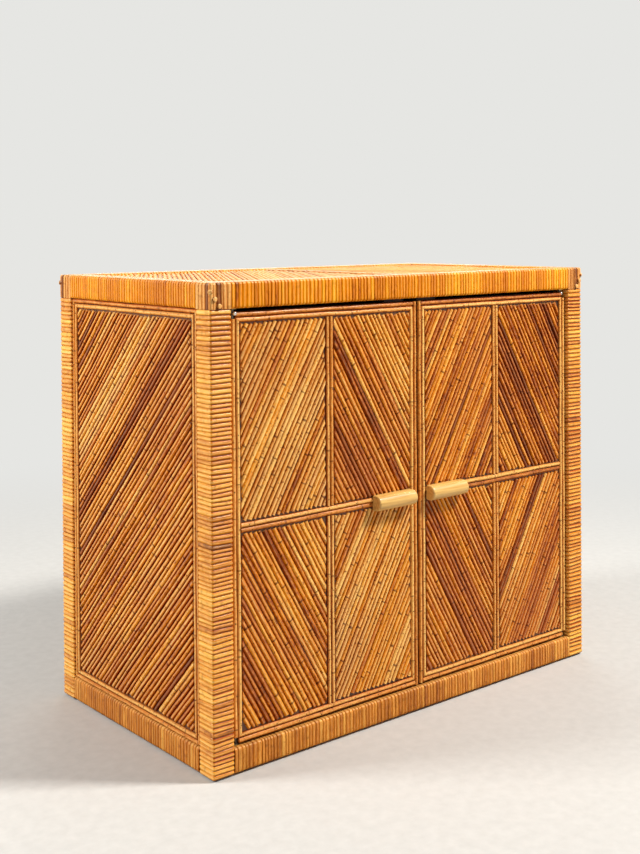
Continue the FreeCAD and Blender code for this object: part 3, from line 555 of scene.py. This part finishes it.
def peg_post(pegs, corner, side, inward):
    """Three pegs in one post's top, in a slanting row; the outermost points out at the edge."""
    diagonal = math.sqrt(0.5)
    for step in range(3):
        out = -inward * Y
        spot = corner - side * X * step * PEG_ASIDE - Z * (PEG_TOP + PEG_DOWN * step)
        if step == 0:
            out = (side * X - inward * Y) * diagonal
            spot = spot + (-side * X + inward * Y) * CAP_RADIUS * (1 - diagonal)
            spot = spot - out * PEG_SUNK
        # The dark collar is painted shade round the peg where it sits in the post.
        rod(pegs, spot, out, PEG_SHADE_RING, tone=0.08)
        rod(pegs, spot, out, PEG_END, tone=rng.uniform(0.9, 1.0))


# --- Materials ------------------------------------------------------------------------


def linear(level):
    """A display value from 0 to 255 as an amount of light."""
    if level > 10:
        return ((level / 255 + 0.055) / 1.055) ** 2.4
    return level / 255 / 12.92


def srgb(red, green, blue):
    """A colour written as 0 to 255 display values."""
    return (linear(red), linear(green), linear(blue), 1.0)


class Nodes:
    """A node tree, built up a node at a time."""

    def __init__(self, tree):
        self.tree = tree

    def node(self, kind, inputs=None, **settings):
        """A new node with its settings, and what its inputs are set or linked to."""
        made = self.tree.nodes.new(kind)
        for label, value in settings.items():
            setattr(made, label, value)
        for label, value in (inputs or {}).items():
            self.feed(made.inputs[label], value)
        return made

    def feed(self, socket, value):
        """Links an input to an output, or sets it to a plain value."""
        if isinstance(value, bpy.types.NodeSocket):
            self.tree.links.new(value, socket)
        else:
            socket.default_value = value

    def feed_all(self, made, values):
        """Feeds a node's inputs in their order and gives its first output."""
        for socket, value in zip(made.inputs, values):
            self.feed(socket, value)
        return made.outputs[0]

    def math(self, operation, first, second=0.0, third=0.0):
        """The result of a math node."""
        made = self.node("ShaderNodeMath", operation=operation)
        return self.feed_all(made, (first, second, third))

    def off_middle(self, value, amount):
        """How far a value lies from one half, times an amount."""
        return self.math("MULTIPLY", self.math("SUBTRACT", value, 0.5), amount)

    def coords(self):
        """Places on a piece, in metres."""
        return self.node("ShaderNodeTexCoord").outputs["Object"]

    def split(self, vector):
        """The three parts of a vector."""
        return self.node("ShaderNodeSeparateXYZ", {"Vector": vector}).outputs

    def facing(self):
        """The three parts of the direction that the surface faces."""
        return self.split(self.node("ShaderNodeNewGeometry").outputs["Normal"])

    def noise(self, vector, scale, detail, roughness=0.55):
        """Smooth noise from 0 to 1."""
        inputs = {"Vector": vector, "Scale": scale, "Detail": detail, "Roughness": roughness}
        return self.node("ShaderNodeTexNoise", inputs).outputs["Fac"]

    def ramp(self, fac, stops):
        """The colour at a value, from (value, colour) stops."""
        made = self.node("ShaderNodeValToRGB", {"Fac": fac})
        elements = made.color_ramp.elements
        while len(elements) < len(stops):
            elements.new(0.5)
        for element, (place, colour) in zip(elements, stops):
            element.position = place
            element.color = colour
        return made.outputs["Color"]

    def grey(self, fac, stops):
        """The level at a value, from (value, level) stops."""
        return self.ramp(fac, [(place, (level, level, level, 1)) for place, level in stops])

    def blend(self, kind, fac, first, second):
        """Two colours blended in one of Blender's ways."""
        made = self.node("ShaderNodeMix", data_type="RGBA", blend_type=kind)
        self.feed(made.inputs["Factor"], fac)
        self.feed(made.inputs["A"], first)
        self.feed(made.inputs["B"], second)
        return made.outputs["Result"]

    def paint(self, colour, mask, amount, paint, kind="MIX"):
        """A colour with a paint over it where a mask is white, by an amount."""
        return self.blend(kind, self.math("MULTIPLY", mask, amount), colour, paint)

    def seen(self):
        """One for what is seen, also as a reflection or through glass, and zero for light."""
        rays = self.node("ShaderNodeLightPath").outputs
        seen = self.math("MAXIMUM", rays["Is Camera Ray"], rays["Is Glossy Ray"])
        return self.math("MAXIMUM", seen, rays["Is Transmission Ray"])

    def mix_shaders(self, fac, first, second):
        """The first shader where fac is zero, and the second where it is one."""
        return self.feed_all(self.node("ShaderNodeMixShader"), (fac, first, second))


class Material(Nodes):
    """A node material."""

    def __init__(self, name):
        self.material = bpy.data.materials.new(name)
        self.material.use_nodes = True
        super().__init__(self.material.node_tree)
        self.shader = self.tree.nodes["Principled BSDF"]

    def surface(self, **values):
        """Feeds inputs of the shader."""
        for label, value in values.items():
            self.feed(self.shader.inputs[label.replace("_", " ")], value)

    def bump(self, height, strength, distance):
        """Small relief on the surface."""
        inputs = {"Height": height, "Strength": strength, "Distance": distance}
        self.surface(Normal=self.node("ShaderNodeBump", inputs).outputs["Normal"])


AGED = srgb(188, 104, 50)
# Painted light from above on what faces up, with some sun bleaching
TOP_LIGHT_AND_BLEACH = srgb(198, 154, 86)
# Painted highlight on crests, together with worn varnish
WEAR_AND_HIGHLIGHT = srgb(255, 222, 152)
JOINT = srgb(84, 30, 6)
FLECK = srgb(124, 52, 12)
# Painted shade on the flanks and seams between strands, with pooled varnish
FLANK_STAIN_AND_SHADE = srgb(186, 90, 30)
SEAM_STAIN_AND_SHADE = srgb(72, 18, 0)
VARNISH_TINT = (1.0, 0.85, 0.6, 1.0)


def rattan(name, stops, marks, grain, stain_and_shade, rough, top_light_and_bleach=0.5, wear_and_highlight=0.4, rosy=0.1):
    """Varnished rattan: tone per strand, grain along it, marks at its joints, painted shade on its
    flanks, a painted highlight on its crest.
    """
    m = Material(name)
    u, v = m.split(m.node("ShaderNodeUVMap", uv_map="strand").outputs[0])[:2]
    tone = m.node("ShaderNodeAttribute", attribute_name="tone").outputs["Fac"]
    chance = m.node("ShaderNodeAttribute", attribute_name="chance").outputs["Fac"]
    own = m.math("MULTIPLY", chance, 91.0)

    def strand_noise(lengthwise, crosswise, detail, roughness=0.55):
        """Noise stretched along the strand, different on each one."""
        parts = {"X": m.math("MULTIPLY", u, lengthwise), "Y": m.math("MULTIPLY", v, crosswise)}
        spot = m.node("ShaderNodeCombineXYZ", {**parts, "Z": own}).outputs[0]
        return m.noise(spot, 1.0, detail, roughness)

    fine = strand_noise(6.0, 14.0, 4.0, 0.6)
    broad = strand_noise(5.0, 1.4, 3.0)
    mottle = strand_noise(24.0, 2.4, 3.0)
    coords = m.coords()
    patch = m.noise(coords, 8.0, 2.0)
    shade = tone
    for variation, amount in ((broad, 0.7), (mottle, 0.8), (patch, 0.6)):
        shade = m.math("ADD", shade, m.off_middle(variation, amount))
    colour = m.ramp(shade, stops)
    streak = m.grey(fine, [(0.3, 1 - grain), (0.52, 1.0), (0.72, 1 + grain * 0.25)])
    colour = m.blend("MULTIPLY", 1.0, colour, streak)
    # The varnish has aged to a rosier brown in some areas, on some strands more than others.
    aged = m.math("ADD", m.noise(coords, 5.0, 2.0), m.math("MULTIPLY", chance, 0.2))
    colour = m.paint(colour, m.grey(aged, [(0.54, 0.0), (0.74, 1.0)]), rosy, AGED)
    # Surfaces that face up are painted paler: painted light from above, together with some bleaching by
    # the sun.
    upward = m.facing()["Z"]
    colour = m.paint(colour, m.grey(upward, [(0.55, 0.0), (0.95, 1.0)]), top_light_and_bleach, TOP_LIGHT_AND_BLEACH)
    # The crest is painted pale in places: a painted highlight along it, together with worn varnish.
    rim = m.math("ABSOLUTE", m.math("SUBTRACT", v, 0.5))
    rim = m.math("ADD", rim, m.off_middle(broad, 0.12))
    patchy = m.grey(fine, [(0.4, 0.25), (0.58, 1.0)])
    crest = m.math("MULTIPLY", m.grey(rim, [(0.02, 1.0), (0.2, 0.0)]), patchy)
    crest = m.math("MULTIPLY", crest, m.grey(shade, [(0.1, 0.3), (0.7, 1.0)]))
    colour = m.paint(colour, crest, wear_and_highlight, WEAR_AND_HIGHLIGHT)
    # At a joint of the rattan a thin ragged line runs across the strand.
    ragged = m.math("ADD", u, m.off_middle(fine, 0.012))
    apart = m.math("ABSOLUTE", m.math("SUBTRACT", m.math("FRACT", ragged), 0.5))
    line = m.grey(apart, [(0.0, 1.0), (0.005, 0.85), (0.012, 0.0)])
    colour = m.paint(colour, line, marks, JOINT)
    # The peel has small dark nicks and flecks.
    fleck = m.grey(strand_noise(44.0, 1.8, 2.0), [(0.6, 0.0), (0.68, 1.0)])
    colour = m.paint(colour, fleck, marks, FLECK)
    # Painted shade darkens where a strand dips to its neighbours, with varnish and dust gathered there,
    # beside some more than others.
    stain_and_shade_level = m.math("MULTIPLY", m.math("ADD", m.math("MULTIPLY", chance, 1.3), 0.35), stain_and_shade)
    flank = m.grey(rim, [(0.1, 0.0), (0.45, 1.0)])
    colour = m.paint(colour, flank, stain_and_shade_level, FLANK_STAIN_AND_SHADE, "MULTIPLY")
    edge = m.grey(rim, [(0.4, 0.0), (0.47, 1.0)])
    colour = m.paint(colour, edge, stain_and_shade_level, SEAM_STAIN_AND_SHADE)
    # Flanks and undersides are dull with dust.
    clean = m.grey(m.math("MULTIPLY_ADD", upward, 0.5, 0.5), [(0.4, 0.05), (0.56, 1.0)])
    sheen = m.math("MULTIPLY", m.grey(rim, [(0.24, 0.45), (0.42, 0.03)]), clean)
    m.surface(Base_Color=colour, Roughness=m.math("ADD", m.math("MULTIPLY", fine, 0.22), rough))
    m.surface(Specular_IOR_Level=sheen, Specular_Tint=VARNISH_TINT)
    m.bump(m.math("ADD", fine, m.math("MULTIPLY", line, -0.8)), 0.35, 0.0006)
    return m.material


def timber(name, stops, axis, grain=0.5, rough=0.5, plies=None):
    """Wood with its grain along an axis; plies names the axis that its sheets are stacked on."""
    m = Material(name)
    coords = m.coords()
    stretch = [150.0, 150.0, 150.0]
    stretch["xyz".index(axis)] = 7.0
    fitted = m.node("ShaderNodeMapping", {"Vector": coords, "Scale": stretch}).outputs[0]
    rings = m.noise(fitted, 0.35, 2.0)
    fine = m.noise(fitted, 2.2, 5.0, 0.65)
    lines = m.math("FRACT", m.math("MULTIPLY", rings, 9.0))
    lines = m.math("ABSOLUTE", m.math("SUBTRACT", lines, 0.5))
    mixed = m.math("ADD", m.math("MULTIPLY", lines, 0.9), m.math("MULTIPLY", fine, 0.6))
    colour = m.ramp(mixed, stops)
    pores = m.grey(fine, [(0.36, 1 - grain), (0.5, 1.0)])
    colour = m.blend("MULTIPLY", 1.0, colour, pores)
    if plies:
        stack = "xyz".index(plies)
        sheets_per_metre = 330.0
        sheet = m.math("FRACT", m.math("MULTIPLY", m.split(coords)[stack], sheets_per_metre))
        edge = m.grey(m.math("ABSOLUTE", m.facing()[stack]), [(0.4, 1.0), (0.6, 0.0)])
        sheet = m.ramp(sheet, [(0.45, stops[-1][1]), (0.55, stops[0][1])])
        sheet = m.blend("MULTIPLY", 0.8, sheet, pores)
        colour = m.blend("MIX", edge, colour, sheet)
    roughness = m.math("ADD", m.math("MULTIPLY", fine, 0.2), rough - 0.1)
    m.surface(Base_Color=colour, Roughness=roughness)
    m.bump(fine, 0.25, 0.0004)
    return m.material


def metal(name, light, dark, rough):
    """Metal with faint level tool marks and a little tarnish."""
    m = Material(name)
    coords = m.coords()
    tool_marks = (60.0, 60.0, 900.0)
    stretch = m.node("ShaderNodeMapping", {"Vector": coords, "Scale": tool_marks})
    marks = m.noise(stretch.outputs[0], 1.0, 3.0)
    spots = m.noise(coords, 260.0, 4.0)
    m.surface(Base_Color=m.ramp(spots, [(0.35, dark), (0.6, light)]), Metallic=1.0)
    m.surface(Roughness=m.math("ADD", m.math("MULTIPLY", marks, 0.25), rough))
    m.bump(marks, 0.15, 0.0002)
    return m.material


def plastic(name, light, dark, rough):
    """Moulded plastic with a fine grain."""
    m = Material(name)
    coords = m.coords()
    grain = m.noise(coords, 900.0, 2.0)
    worn = m.noise(coords, 45.0, 4.0)
    m.surface(Base_Color=m.ramp(worn, [(0.35, dark), (0.65, light)]))
    m.surface(Roughness=m.math("ADD", m.math("MULTIPLY", grain, 0.2), rough))
    m.bump(grain, 0.2, 0.0002)
    return m.material


REED_STOPS = [
    (0.0, srgb(104, 34, 2)),
    (0.2, srgb(162, 70, 6)),
    (0.45, srgb(224, 128, 18)),
    (0.75, srgb(246, 165, 52)),
    (1.0, srgb(255, 198, 106)),
]
POST_STOPS = [
    (0.0, srgb(134, 66, 16)),
    (0.2, srgb(198, 114, 32)),
    (0.6, srgb(238, 156, 38)),
    (1.0, srgb(252, 190, 68)),
]
RAIL_STOPS = [
    (0.0, srgb(134, 60, 2)),
    (0.18, srgb(202, 108, 4)),
    (0.6, srgb(237, 142, 8)),
    (1.0, srgb(252, 176, 30)),
]
BASE_STOPS = [
    (0.0, srgb(112, 56, 20)),
    (0.2, srgb(168, 94, 32)),
    (0.6, srgb(218, 136, 46)),
    (1.0, srgb(246, 178, 80)),
]
CAP_STOPS = [
    (0.0, srgb(120, 60, 24)),
    (0.2, srgb(178, 106, 46)),
    (0.6, srgb(228, 154, 72)),
    (1.0, srgb(246, 188, 110)),
]
STRIP_STOPS = [
    (0.0, srgb(156, 76, 18)),
    (0.4, srgb(222, 134, 42)),
    (1.0, srgb(255, 198, 104)),
]
PLY = [(0.1, srgb(150, 96, 52)), (0.55, srgb(188, 130, 76)), (1.0, srgb(208, 154, 98))]
BACKING = [(0.1, srgb(78, 42, 20)), (0.55, srgb(104, 60, 30)), (1.0, srgb(126, 78, 42))]
RAW = [(0.1, srgb(172, 126, 76)), (0.55, srgb(204, 160, 104)), (1.0, srgb(222, 184, 130))]
CORE = [(0.1, srgb(96, 52, 24)), (0.55, srgb(122, 72, 36)), (1.0, srgb(140, 88, 48))]
PALE = [(0.1, srgb(190, 136, 62)), (0.5, srgb(216, 170, 92)), (1.0, srgb(232, 192, 116))]

reed_look = rattan(
    "split_reed_varnished", REED_STOPS, marks=0.85, grain=0.5, stain_and_shade=0.4, rough=0.2, wear_and_highlight=0.5, rosy=0.5
)
side_reed_look = rattan(
    "split_reed_on_sides", REED_STOPS, marks=0.85, grain=0.5, stain_and_shade=0.8, rough=0.2, wear_and_highlight=0.6, rosy=0.5
)
top_reed_look = rattan(
    "split_reed_on_top", REED_STOPS, marks=0.6, grain=0.4, stain_and_shade=0.3, rough=0.5, top_light_and_bleach=0.7
)
post_look = rattan(
    "cane_on_posts", POST_STOPS, marks=0.25, grain=0.28, stain_and_shade=0.7, rough=0.2, wear_and_highlight=0.6
)
cap_look = rattan("cane_on_post_tops", CAP_STOPS, marks=0.3, grain=0.5, stain_and_shade=0.3, rough=0.25)
rail_look = rattan(
    "cane_on_rails", RAIL_STOPS, marks=0.15, grain=0.5, stain_and_shade=0.25, rough=0.25, wear_and_highlight=0.3
)
base_look = rattan(
    "cane_on_bottom_rails", BASE_STOPS, marks=0.3, grain=0.7, stain_and_shade=0.2, rough=0.3, wear_and_highlight=0.15
)
strip_look = rattan(
    "border_strip_varnished", STRIP_STOPS, marks=0.7, grain=0.4, stain_and_shade=0.55, rough=0.2
)
peg_look = rattan("rattan_peg_varnished", CAP_STOPS, marks=0.0, grain=0.3, stain_and_shade=0.3, rough=0.3)
nail_look = metal("nail_dark_steel", srgb(92, 70, 52), srgb(48, 34, 26), 0.35)
knuckle_look = metal("knuckle_bright_steel", srgb(236, 232, 222), srgb(186, 180, 168), 0.15)

# The looks of the CAD nodes that no piece of this script stands in for.
NODE_LOOKS = (
    (timber("ply_doors", BACKING, "z", plies="y"), ["door_panel_left", "door_panel_right"]),
    (timber("ply_sides", BACKING, "z", plies="x"), ["side_panel_left", "side_panel_right"]),
    (timber("ply_top", BACKING, "x", plies="z"), ["top_panel"]),
    (timber("ply_boards", PLY, "x", grain=0.2, plies="z"), ["deck", "shelf"]),
    (timber("ply_back", PLY, "z", grain=0.18, plies="y"), ["back_panel"]),
    (timber("batten_along", RAW, "y"), ["shelf_cleats"]),
    (timber("batten_across", RAW, "x"), ["top_battens"]),
    (timber("dowel_beech", RAW, "x", grain=0.3), ["frame_dowels"]),
    (
        timber("handle_pale_wood", PALE, "x", grain=0.14, rough=0.3),
        ["door_handle_left", "door_handle_right"],
    ),
    (timber("core_posts", CORE, "z"), [f"post_{corner}" for corner in CORNERS]),
    (
        timber("core_rails_x", CORE, "x"),
        [f"{level}_rail_{rail}" for level in LEVELS for rail in ("front", "back")],
    ),
    (
        timber("core_rails_y", CORE, "y"),
        [f"{level}_rail_{rail}" for level in LEVELS for rail in ("left", "right")],
    ),
    (plastic("glide_dark_plastic", srgb(62, 56, 50), srgb(42, 38, 34), 0.4), ["foot_glides"]),
    (plastic("catch_brown_plastic", srgb(96, 64, 42), srgb(70, 44, 28), 0.4), ["magnetic_catches"]),
    (metal("bush_satin_brass", srgb(214, 176, 98), srgb(168, 128, 66), 0.3), ["pivot_bushes"]),
    (
        metal("pin_aged_steel", srgb(120, 112, 100), srgb(70, 60, 50), 0.35),
        ["pivot_pins_left", "pivot_pins_right"],
    ),
    (
        metal("plate_zinc", srgb(206, 206, 204), srgb(160, 160, 158), 0.35),
        ["catch_strike_left", "catch_strike_right"],
    ),
    (
        metal("screw_yellow_zinc", srgb(214, 196, 138), srgb(160, 142, 92), 0.3),
        ["handle_screws_left", "handle_screws_right", "back_panel_screws"],
    ),
)
for look, names in NODE_LOOKS:
    for name in names:
        mesh = nodes[name].data
        mesh.materials.clear()
        mesh.materials.append(look)


# --- Posts and rails ------------------------------------------------------------------

for corner in CORNERS:
    node = f"post_wrap_{corner}"
    side = -1 if "left" in corner else 1
    inward = 1 if "front" in corner else -1
    turns = wind(node, (-side * X, inward * Y, Z), POST_WINDING, uneven=0.15)
    turns.make(f"cane_turns_post_{corner}", post_look, "cane_binding", "carcass", node)

for level, look in (("top", rail_look), ("bottom", base_look)):
    for rail, inner, run, uneven in (
        ("front", Y, X, 0.15),
        ("back", -Y, X, 0.15),
        ("left", X, Y, 0.1),
        ("right", -X, Y, 0.1),
    ):
        node = f"{level}_rail_wrap_{rail}"
        turns = wind(node, (inner, Z, run), RAIL_WINDING, uneven)
        turns.make(f"cane_turns_{level}_rail_{rail}", look, "cane_binding", "carcass", node)

caps_low, caps_high = corners("post_caps")
caps = Piece()
pegs = Piece()
for side, x in ((-1, caps_low[0]), (1, caps_high[0])):
    for inward, y in ((1, caps_low[1]), (-1, caps_high[1])):
        corner = np.array([x, y, caps_high[2]])
        cap_post(caps, corner, side, inward)
        peg_post(pegs, corner, side, inward)
caps.make("cane_strips_post_tops", cap_look, "cane_binding", "carcass", "post_caps")
pegs.make("rattan_pegs", peg_look, "rattan_peg", "carcass", "corner_pegs")


# --- Sides and top --------------------------------------------------------------------


def dress_side(side, sign, nails):
    """Two mitred rings of strips on a side panel, and the reeds that climb to the front."""
    low, high = corners(f"side_panel_{side}")
    face = low[0] if sign < 0 else high[0]
    place = (np.array([face, (low[1] + high[1]) / 2, 0]), sign * Y, Z, sign * X)
    half = (high[1] - low[1]) / 2
    across = (-half, half)
    up = (low[2], high[2])
    trim = Piece()
    kit = (trim, nails, place)
    mitred_ring(kit, across, up, tone=0.5)
    mitred_ring(kit, inside(across, PITCH), inside(up, PITCH), tone=0.68)
    trim.make(f"strips_side_{side}", strip_look, "border_strip", "carcass", f"side_trim_{side}")
    slope = 46
    degrees = slope if sign < 0 else 180 - slope
    reeds = Piece()
    reed_field(reeds, place, inside(across, 2 * PITCH), inside(up, 2 * PITCH), degrees)
    reeds.make(f"reeds_side_{side}", side_reed_look, "split_reed", "carcass", f"side_reeds_{side}")


def dress_top(nails):
    """A pair of strips down the middle of the top, and a field of reeds on either side."""
    low, high = corners("top_panel")
    place = (np.array([0, (low[1] + high[1]) / 2, high[2]]), X, Y, Z)
    half = (high[1] - low[1]) / 2
    trim = Piece()
    pair((trim, nails, place), (0, -half), (0, half), tones=(0.6, 0.6))
    trim.make("strips_top", strip_look, "border_strip", "carcass", "top_trim")
    # Thinner reeds than elsewhere leave the top a little below its rails.
    thin = 2.2 * MM
    reeds = Piece()
    for across, degrees in (((low[0], -PITCH), 58), ((PITCH, high[0]), 122)):
        reed_field(reeds, place, across, (-half, half), degrees, thin, paler=0.05)
    reeds.make("reeds_top", top_reed_look, "split_reed", "carcass", "top_reeds")


carcass_nails = Piece()
for side, sign in SIDES:
    dress_side(side, sign, carcass_nails)
dress_top(carcass_nails)
carcass_nails.make("nail_heads", nail_look, "screw_steel", "carcass")


# --- Doors ----------------------------------------------------------------------------

MIDDLE_LINE = 328 * MM  # height of the pair of strips across a door
NOTCH_HEIGHT = 9 * MM  # left free at both ends by the strip on the hinge side
NOTCH_WIDTH = 8.5 * MM
BALL_RADIUS = 3.3 * MM
BALL_ASIDE = 1.5 * MM  # from the pins' middle towards the door's free edge
BALL_AHEAD = 4 * MM  # from the pins' middle to the front
BALL_DROP = 1.8 * MM  # below the door's top
HINGE_TONES = {"left": 0.25, "right": 0.65}
# How much paler each door's upper left, upper right, lower left and lower right reeds are.
FIELD_TONES = {"left": (0.36, -0.06, 0.0, 0.26), "right": (-0.13, -0.17, -0.14, -0.03)}


def door_strips(kit, sign, across, up, hinge_tone):
    """Two strips all round a door, a pair across its middle and a pair down the middle."""
    hinge, free = across if sign < 0 else across[::-1]
    bottom, top = up
    half = STRIP_WIDTH / 2
    hinge_line = hinge - sign * half
    free_line = free + sign * half
    strip(kit, (hinge_line, bottom + NOTCH_HEIGHT), (hinge_line, top - NOTCH_HEIGHT), hinge_tone)
    strip(kit, (free_line, bottom), (free_line, top), tone=0.35)
    near, far = sorted((hinge - sign * NOTCH_WIDTH, free + sign * PITCH))
    for line, tone in ((bottom + half, 0.5), (top - half, 0.15)):
        strip(kit, (near, line), (far, line), tone)
    mitred_ring(kit, inside(across, PITCH), inside(up, PITCH), tone=0.76)
    left, right = inside(across, 2 * PITCH)
    lowest, highest = inside(up, 2 * PITCH)
    middle = (left + right) / 2
    pair(kit, (left, MIDDLE_LINE), (right, MIDDLE_LINE), tones=(0.35, 0.6))
    pair(kit, (middle, lowest), (middle, MIDDLE_LINE - PITCH), tones=(0.5, 0.7))
    pair(kit, (middle, MIDDLE_LINE + PITCH), (middle, highest), tones=(0.5, 0.7))


def door_reeds(side, place, across, up):
    """Four fields of reeds that make a diamond."""
    left, right = inside(across, 2 * PITCH)
    lowest, highest = inside(up, 2 * PITCH)
    middle = (left + right) / 2
    west = (left, middle - PITCH)
    east = (middle + PITCH, right)
    lower = (lowest, MIDDLE_LINE - PITCH)
    upper = (MIDDLE_LINE + PITCH, highest)
    fields = ((west, upper, 60), (east, upper, 120), (west, lower, 120), (east, lower, 60))
    reeds = Piece()
    for (field_across, field_up, degrees), paler in zip(fields, FIELD_TONES[side]):
        reed_field(reeds, place, field_across, field_up, degrees, paler=paler)
    return reeds


def knuckle(side, sign, door_top):
    """A ball in the door's upper notch, just in front of the pin."""
    low, high = corners(f"pivot_pins_{side}")
    centre = (low + high) / 2 - sign * X * BALL_ASIDE - Y * BALL_AHEAD
    centre[2] = door_top - BALL_DROP
    steepest = 1.3
    turns = np.linspace(-steepest, steepest, 9)
    levels = [(BALL_RADIUS * math.sin(turn), BALL_RADIUS * math.cos(turn)) for turn in turns]
    ball = Piece()
    rod(ball, centre, Z, levels, tone=0.5)
    return ball


def dress_door(side, sign):
    """The strips, nails, pivot ball and reeds of one door."""
    body = f"door_{side}"
    low, high = corners(f"door_panel_{side}")
    place = (np.array([0, low[1], 0]), X, Z, -Y)
    across = (low[0], high[0])
    up = (low[2], high[2])
    nails = Piece()
    trim = Piece()
    door_strips((trim, nails, place), sign, across, up, HINGE_TONES[side])
    ball = knuckle(side, sign, high[2])
    ball.make(f"pivot_knuckle_{side}", knuckle_look, "pin_steel", body)
    trim.make(f"strips_door_{side}", strip_look, "border_strip", body, f"door_trim_{side}")
    nails.make(f"nail_heads_door_{side}", nail_look, "screw_steel", body)
    reeds = door_reeds(side, place, across, up)
    reeds.make(f"reeds_door_{side}", reed_look, "split_reed", body, f"door_reeds_{side}")


for side, sign in SIDES:
    dress_door(side, sign)


# --- Floor and backdrop ---------------------------------------------------------------

FLOOR_REACH = 9
BACKDROP = srgb(230, 230, 227)
SKY_LIGHT = (1.0, 0.985, 0.96, 1)
SKY_STRENGTH = 0.26

floor_mesh = bpy.data.meshes.new("floor")
floor_corners = [(FLOOR_REACH * x, FLOOR_REACH * y, 0) for x, y in ((-1, -1), (1, -1), (1, 1), (-1, 1))]
floor_mesh.from_pydata(floor_corners, [], [(0, 1, 2, 3)])
floor = put("floor", floor_mesh)
ground = Material("floor_pale")
spot = ground.coords()
speck = ground.noise(spot, 60.0, 4.0)
speckled = ground.ramp(speck, [(0.3, srgb(184, 184, 182)), (0.7, srgb(192, 192, 190))])
ground.surface(Base_Color=speckled, Roughness=0.8)
# Far from the cabinet the floor shows the backdrop's colour, so no horizon is seen.
away = ground.node("ShaderNodeVectorMath", {0: spot}, operation="LENGTH").outputs["Value"]
fade = {"Value": away, "From Min": 0.55, "From Max": 2.1}
far = ground.node("ShaderNodeMapRange", fade, interpolation_type="SMOOTHSTEP").outputs[0]
shown = ground.math("MULTIPLY", ground.seen(), far)
plain = ground.node("ShaderNodeEmission", {"Color": BACKDROP})
mixed = ground.mix_shaders(shown, ground.shader.outputs[0], plain.outputs[0])
ground.feed(ground.tree.nodes["Material Output"].inputs["Surface"], mixed)
floor_mesh.materials.append(ground.material)

world = bpy.data.worlds.new("studio")
bpy.context.scene.world = world
world.use_nodes = True
sky = Nodes(world.node_tree)
light = sky.tree.nodes["Background"]
sky.feed(light.inputs["Color"], SKY_LIGHT)
sky.feed(light.inputs["Strength"], SKY_STRENGTH)
plain = sky.node("ShaderNodeBackground", {"Color": BACKDROP})
mixed = sky.mix_shaders(sky.seen(), light.outputs[0], plain.outputs[0])
sky.feed(sky.tree.nodes["World Output"].inputs["Surface"], mixed)


# --- Lamps and camera -----------------------------------------------------------------


def standing(right, up, back, spot):
    """The matrix of a lamp or camera at a spot, which looks away from its back."""
    return Matrix([[right[i], up[i], back[i], spot[i]] for i in range(3)] + [[0, 0, 0, 1]])


def lamp(name, spot, aim, wide, power, colour):
    """A soft square lamp."""
    light = bpy.data.lights.new(name, "AREA")
    light.shape = "SQUARE"
    light.size = wide
    light.energy = power
    light.color = colour
    back = np.array(spot, float) - np.array(aim, float)
    back /= np.linalg.norm(back)
    right = np.cross(Z, back)
    right /= np.linalg.norm(right)
    put(name, light).matrix_world = standing(right, np.cross(back, right), back, spot)


lamp("key", (1.5, -1.7, 2.9), (0, 0, 0.35), wide=0.5, power=168, colour=(1.0, 0.96, 0.9))
lamp("left", (-2.3, 1.0, 1.9), (0, 0, 0.3), wide=0.8, power=78, colour=(1.0, 0.97, 0.92))
lamp("back", (1.8, 2.4, 1.4), (0, 0, 0.3), wide=1.8, power=24, colour=(1.0, 0.98, 0.95))

# The camera was solved from the cabinet's corners in the photograph.
CAMERA_SPOT = (-1.3108, -1.5403, 0.7336)
YAW = math.radians(39.34)
TILT = math.radians(-0.75)
ROLL = math.radians(-0.391)
SENSOR_WIDTH = 36
LENS = 52.32
SHIFT_X = 0.0117
SHIFT_Y = -0.2165

ahead = math.cos(TILT) * (math.sin(YAW) * X + math.cos(YAW) * Y) + math.sin(TILT) * Z
level_right = math.cos(YAW) * X - math.sin(YAW) * Y
level_up = np.cross(level_right, ahead)
right = math.cos(ROLL) * level_right + math.sin(ROLL) * level_up
up = -math.sin(ROLL) * level_right + math.cos(ROLL) * level_up
camera = put("camera", bpy.data.cameras.new("camera"))
camera.data.sensor_width = SENSOR_WIDTH
camera.data.lens = LENS
camera.data.shift_x = SHIFT_X
camera.data.shift_y = SHIFT_Y
camera.matrix_world = standing(right, up, -ahead, CAMERA_SPOT)
bpy.context.scene.camera = camera
bpy.context.scene.view_settings.view_transform = "Standard"
